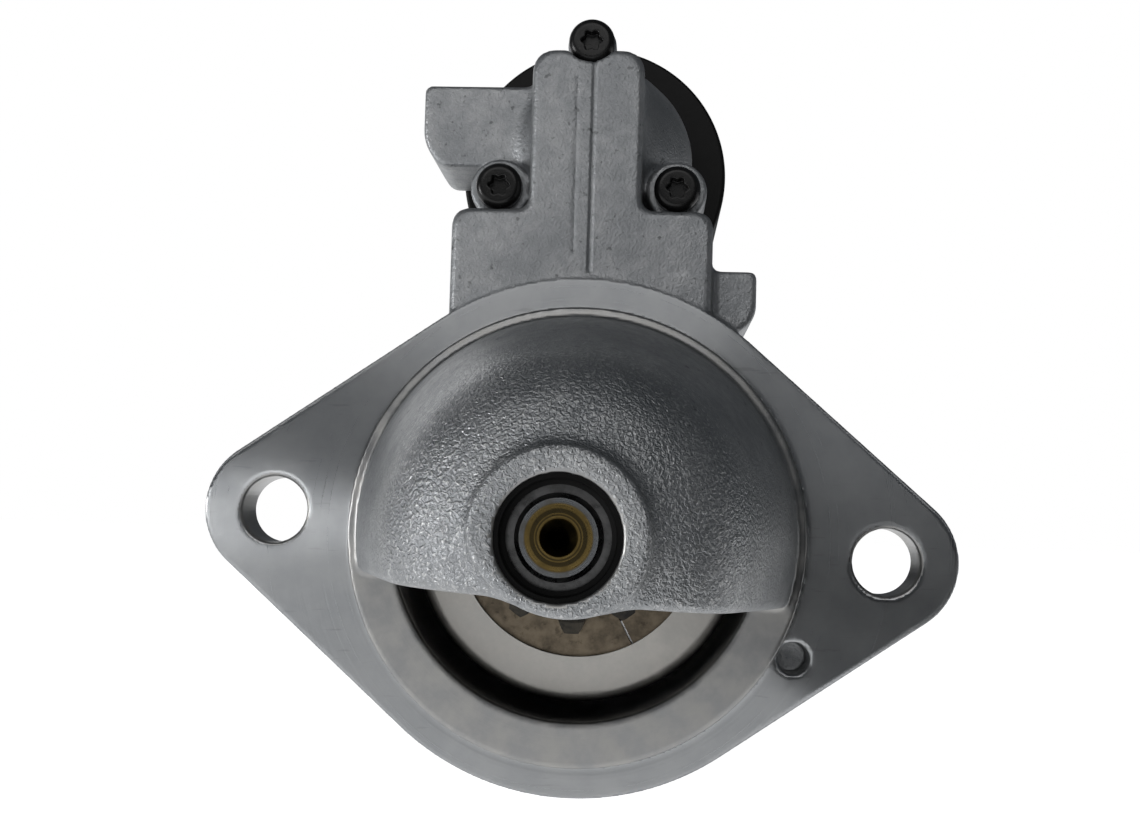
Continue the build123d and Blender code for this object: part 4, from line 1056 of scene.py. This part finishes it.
head = net_of(contact_head(), 0.3)
stud_parts = []
for place, free_from in ((SOL_Z + STUD_OFFSET, CAP_BACK + 0.2), (SOL_Z - STUD_OFFSET, CAP_BACK + 2.7)):
    stud = threaded(STUD_R, 107.5, STUD_END, free_from, 1.25, 0.6)
    stud_parts += [(*stud, (0, 0, place)), (*head, (0, 0, place))]
studs = joined("main_studs_threaded", stud_parts)
tidy_shell(studs)
settle(studs)
dress(studs, "housing", ["main_studs"])
control_place = (CONTROL_X, 0, SOL_Z)
control_thread = threaded(CONTROL_STUD_R, 107.0, CONTROL_END, CAP_BACK + 0.2, 0.8, 0.42, 44)
control_head = lathe_part([(0.0, 105.0), (4.0, 105.0), (4.0, 107.95), (0.0, 107.95)])
control = joined("control_stud_threaded", [(*control_thread, control_place), (*control_head, control_place)])
tidy_shell(control)
settle(control)
dress(control, "housing", ["control_stud"])


def screw_head():
    """Pan head with a six-lobe socket, centred on the Y axis."""
    front = SCREW_SEAT - SCREW_HEAD_HEIGHT

    def distance(x, y, z):
        r = np.hypot(x, z)
        angle = np.arctan2(z, x)
        head = capped(r - SCREW_HEAD_R, y, front, SCREW_SEAT, 0.0)
        crown = np.hypot(np.maximum(r - 3.2, 0), np.maximum(front + 1.5 - y, 0)) - 1.5
        head = np.maximum(head, np.where((r > 3.2) & (y < front + 1.5), crown, -1.0))
        lobes = np.abs(np.mod(angle + math.pi / 6, math.pi / 3) - math.pi / 6)
        socket = r - 1.62 - 0.58 * np.cos(lobes * 3) ** 2
        pocket = np.maximum(socket, y - front - 2.1)
        return smooth_max(head, -pocket, 0.25)
    return distance, (-SCREW_HEAD_R, front, -SCREW_HEAD_R), (SCREW_HEAD_R, SCREW_SEAT, SCREW_HEAD_R)


screw = net_of(screw_head(), 0.13)
shank = lathe_part([(0.0, SCREW_SEAT - 0.5), (2.45, SCREW_SEAT - 0.5), (2.45, 40.8), (0.0, 40.8)], 0.5)
screw_parts = [(*part, (x, 0, z)) for x, z in SCREW_PLACES for part in (screw, shank)]
screws = joined("solenoid_screws_six_lobe", screw_parts, 90000)
tidy_shell(screws)
dress(screws, "housing", ["solenoid_screws"])

bolt_head = net_of(hexagon(8.0, WASHER_BACK, BOLT_HEAD_BACK), FINE)
washer = lathe_part([(2.0, WASHER_FRONT), (5.6, WASHER_FRONT), (5.6, 189.2), (2.0, 189.2)], 0.3)
bolt_shank = lathe_part([(0.0, 32.0), (BOLT_R, 32.0), (BOLT_R, 189.5), (0.0, 189.5)], 0.8)
bolt_parts = [(*part, (x, 0, z)) for x, z in ear_places(BOLT_RADIUS)
              for part in (bolt_head, washer, bolt_shank)]
bolts = joined("through_bolts_hex", bolt_parts, 50000)
tidy_shell(bolts)
dress(bolts, "housing", ["through_bolts"])


def path_bar(path, thick, half_width, edge):
    """Flat strip of the given thickness whose middle follows a path of (y, z) points."""
    def distance(x, y, z):
        near = None
        for (y0, z0), (y1, z1) in zip(path, path[1:]):
            dy, dz = y1 - y0, z1 - z0
            share = np.clip(((y - y0) * dy + (z - z0) * dz) / (dy * dy + dz * dz), 0, 1)
            gap = np.hypot(y - y0 - share * dy, z - z0 - share * dz)
            near = gap if near is None else np.minimum(near, gap)
        across = near - thick / 2 + edge
        along = np.abs(x) - half_width + edge
        outside = np.sqrt(np.maximum(across, 0) ** 2 + np.maximum(along, 0) ** 2)
        return np.minimum(np.maximum(across, along), 0) + outside - edge
    ys, zs = zip(*path)
    low = (-half_width, min(ys) - thick, min(zs) - thick)
    return distance, low, (half_width, max(ys) + thick, max(zs) + thick)


strap = Casting(*box_mm("motor_lead"), 0.26)
run_z = YOKE_R + 3.6 + LEAD_T / 2
strap.add(path_bar([
    (119.25, LEAD_STUD_Z), (119.25, 52.6), (119.6, 50.2), (120.6, 48.2), (122.4, 47.2), (124.4, run_z),
    (171.8, run_z), (173.0, 46.4), (173.55, 45.0), (173.55, 38.4),
], LEAD_T, LEAD_HALF_WIDTH, 0.45))
strap.add(rod(8.0, CAP_BACK, CAP_BACK + LEAD_T, 0, LEAD_STUD_Z, 0.4), 1.0)
strap.cut(rod(4.05, CAP_BACK - 4, CAP_BACK + 6, 0, LEAD_STUD_Z, 0.1), 0.3)
lead = cast("motor_lead_strap", strap, 40000)
dress(lead, "housing", ["motor_lead"])

moulding = Casting(*box_mm("lead_grommet"), 0.28)
moulding.add(brick((-6.5, 6.5), (166.1, 179.8), (38.9, 44.0), 0.6))
moulding.add(brick((-8, 8), (165.0, 177.9), (42.3, 44.8), 0.8), 0.5)
moulding.cut(brick((-4.1, 4.1), (172.2, 174.9), (30, 50), 0.2), 0.2)
grommet = cast("lead_grommet_moulded", moulding, 30000)
dress(grommet, "housing", ["lead_grommet"])

# Springs, copied from the CAD springs


def spring(name, node, keep_points=None):
    """Copy of a CAD spring, keeping only the points that keep_points accepts when it is given."""
    source = frame["nodes"][node]
    bm = bmesh.new()
    bm.from_mesh(source.data)
    if keep_points:
        bmesh.ops.delete(bm, geom=[v for v in bm.verts if not keep_points(v.co)], context="VERTS")
    piece = from_bmesh(name, bm)
    piece.data.materials.append(materials["spring_steel"])
    stand_in(piece, "housing", node_slots[node], node)
    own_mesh(piece)


PLUNGER_TRAVEL = 9.4
BRIDGE_TRAVEL = 6.9
for name, node, joint, travel in (
    ("return_spring_wire", "return_spring", "plunger_slide", PLUNGER_TRAVEL),
    ("contact_spring_wire", "contact_spring", "plunger_slide", PLUNGER_TRAVEL - BRIDGE_TRAVEL),
):
    spring(name, node)
for index, (side_x, side_z) in enumerate(((1, 1), (-1, 1), (-1, -1), (1, -1)), 1):
    spring(f"brush_spring_{index}", "brush_springs",
           lambda co, sx=side_x, sz=side_z: co.x * sx > 0 and co.z * sz > 0)

# Camera at the photo's viewing angle, in front of the nose
camera_data = bpy.data.cameras.new("camera")
camera_data.lens = 47.58
camera_data.sensor_width = 36.0
camera_data.clip_start = 0.01
camera_data.clip_end = 50.0
camera = linked("camera", camera_data)
yaw, pitch, roll = 0.0521, 0.0691, -0.0289
turn = Matrix.Rotation(yaw, 3, "Z") @ Matrix.Rotation(pitch, 3, "X") @ Matrix.Rotation(roll, 3, "Y")
view = Matrix((turn.col[0], turn.col[2], -turn.col[1])).transposed().to_4x4()
camera.matrix_world = Matrix.Translation(Vector((13.445, -295.963, 2.127)) * MM) @ view
bpy.context.scene.camera = camera

# Floor under the lowest point
floor_z = cad_bounds[0][2]
bm = bmesh.new()
bmesh.ops.create_grid(bm, x_segments=8, y_segments=8, size=6.0)
floor = from_bmesh("floor", bm)
floor.location = (0, 0, floor_z - 0.0005)
floor_shader = Shader("pale_floor")
floor_shader.set(
    Base_Color=floor_shader.blend(floor_shader.noise(60, 3), grey(0.80), grey(0.84)), Roughness=0.8,
    Specular_IOR_Level=0.1, Emission_Color=(1.0, 1.0, 1.0, 1.0), Emission_Strength=1.0,
)
floor.data.materials.append(floor_shader.material)


def panel(name, place, target, size, power, colour=(1, 1, 1)):
    """Soft box at a place, facing a target; places and sizes in metres."""
    data = bpy.data.lights.new(name, "AREA")
    data.shape = "RECTANGLE"
    data.size, data.size_y = size
    data.energy = power
    data.color = colour
    light = linked(name, data)
    aim = (Vector(target) - Vector(place)).to_track_quat("-Z", "Y").to_matrix().to_4x4()
    light.matrix_world = Matrix.Translation(place) @ aim
    light.visible_camera = False


panel("front_box", (-0.15, -1.15, 0.72), (0, 0, 0), (1.2, 0.6), 4.4, (1.0, 0.99, 0.98))
panel("left_box", (-0.85, -0.42, -0.12), (0, 0, 0), (0.35, 0.5), 8.5)
panel("back_box", (-0.7, 1.0, 0.5), (0, 0.1, 0.03), (0.8, 0.8), 2.5)


def dark_card(name, corners):
    """Dark sheet that the camera doesn't see, only its reflection and shadow; corners in metres."""
    sheet = bmesh.new()
    sheet.faces.new([sheet.verts.new(corner) for corner in corners])
    card = from_bmesh(name, sheet)
    card.visible_camera = False
    card.data.materials.append(card_shader.material)


# Dark cards at the right, one standing and one on the floor
card_shader = Shader("dark_card")
card_shader.set(Base_Color=card_shader.blend(card_shader.noise(20, 2), grey(0.01), grey(0.02)), Roughness=0.9)
low_z = floor_z + 0.002
card_y = -0.45
dark_card("dark_card", [(0.07, card_y, floor_z), (0.90, card_y, floor_z), (0.90, card_y, 0.14),
                        (0.07, card_y, 0.03)])
dark_card("dark_sheet", [(0.035, card_y, low_z), (0.60, card_y, low_z), (0.60, -0.02, low_z),
                         (0.075, -0.02, low_z)])

world = bpy.data.worlds.new("world")
world.use_nodes = True
bpy.context.scene.world = world
tree = world.node_tree
ambient = tree.nodes["Background"]
ambient.inputs["Color"].default_value = (0.86, 0.92, 1.0, 1)
ambient.inputs["Strength"].default_value = 0.10
plain = tree.nodes.new("ShaderNodeBackground")
plain.inputs["Color"].default_value = (1, 1, 1, 1)
plain.inputs["Strength"].default_value = 1.0
seen = tree.nodes.new("ShaderNodeLightPath")
choice = tree.nodes.new("ShaderNodeMixShader")
tree.links.new(seen.outputs["Is Camera Ray"], choice.inputs["Fac"])
tree.links.new(ambient.outputs[0], choice.inputs[1])
tree.links.new(plain.outputs[0], choice.inputs[2])
tree.links.new(choice.outputs[0], tree.nodes["World Output"].inputs["Surface"])

bpy.context.scene.view_settings.view_transform = "Standard"
bpy.context.view_layer.update()
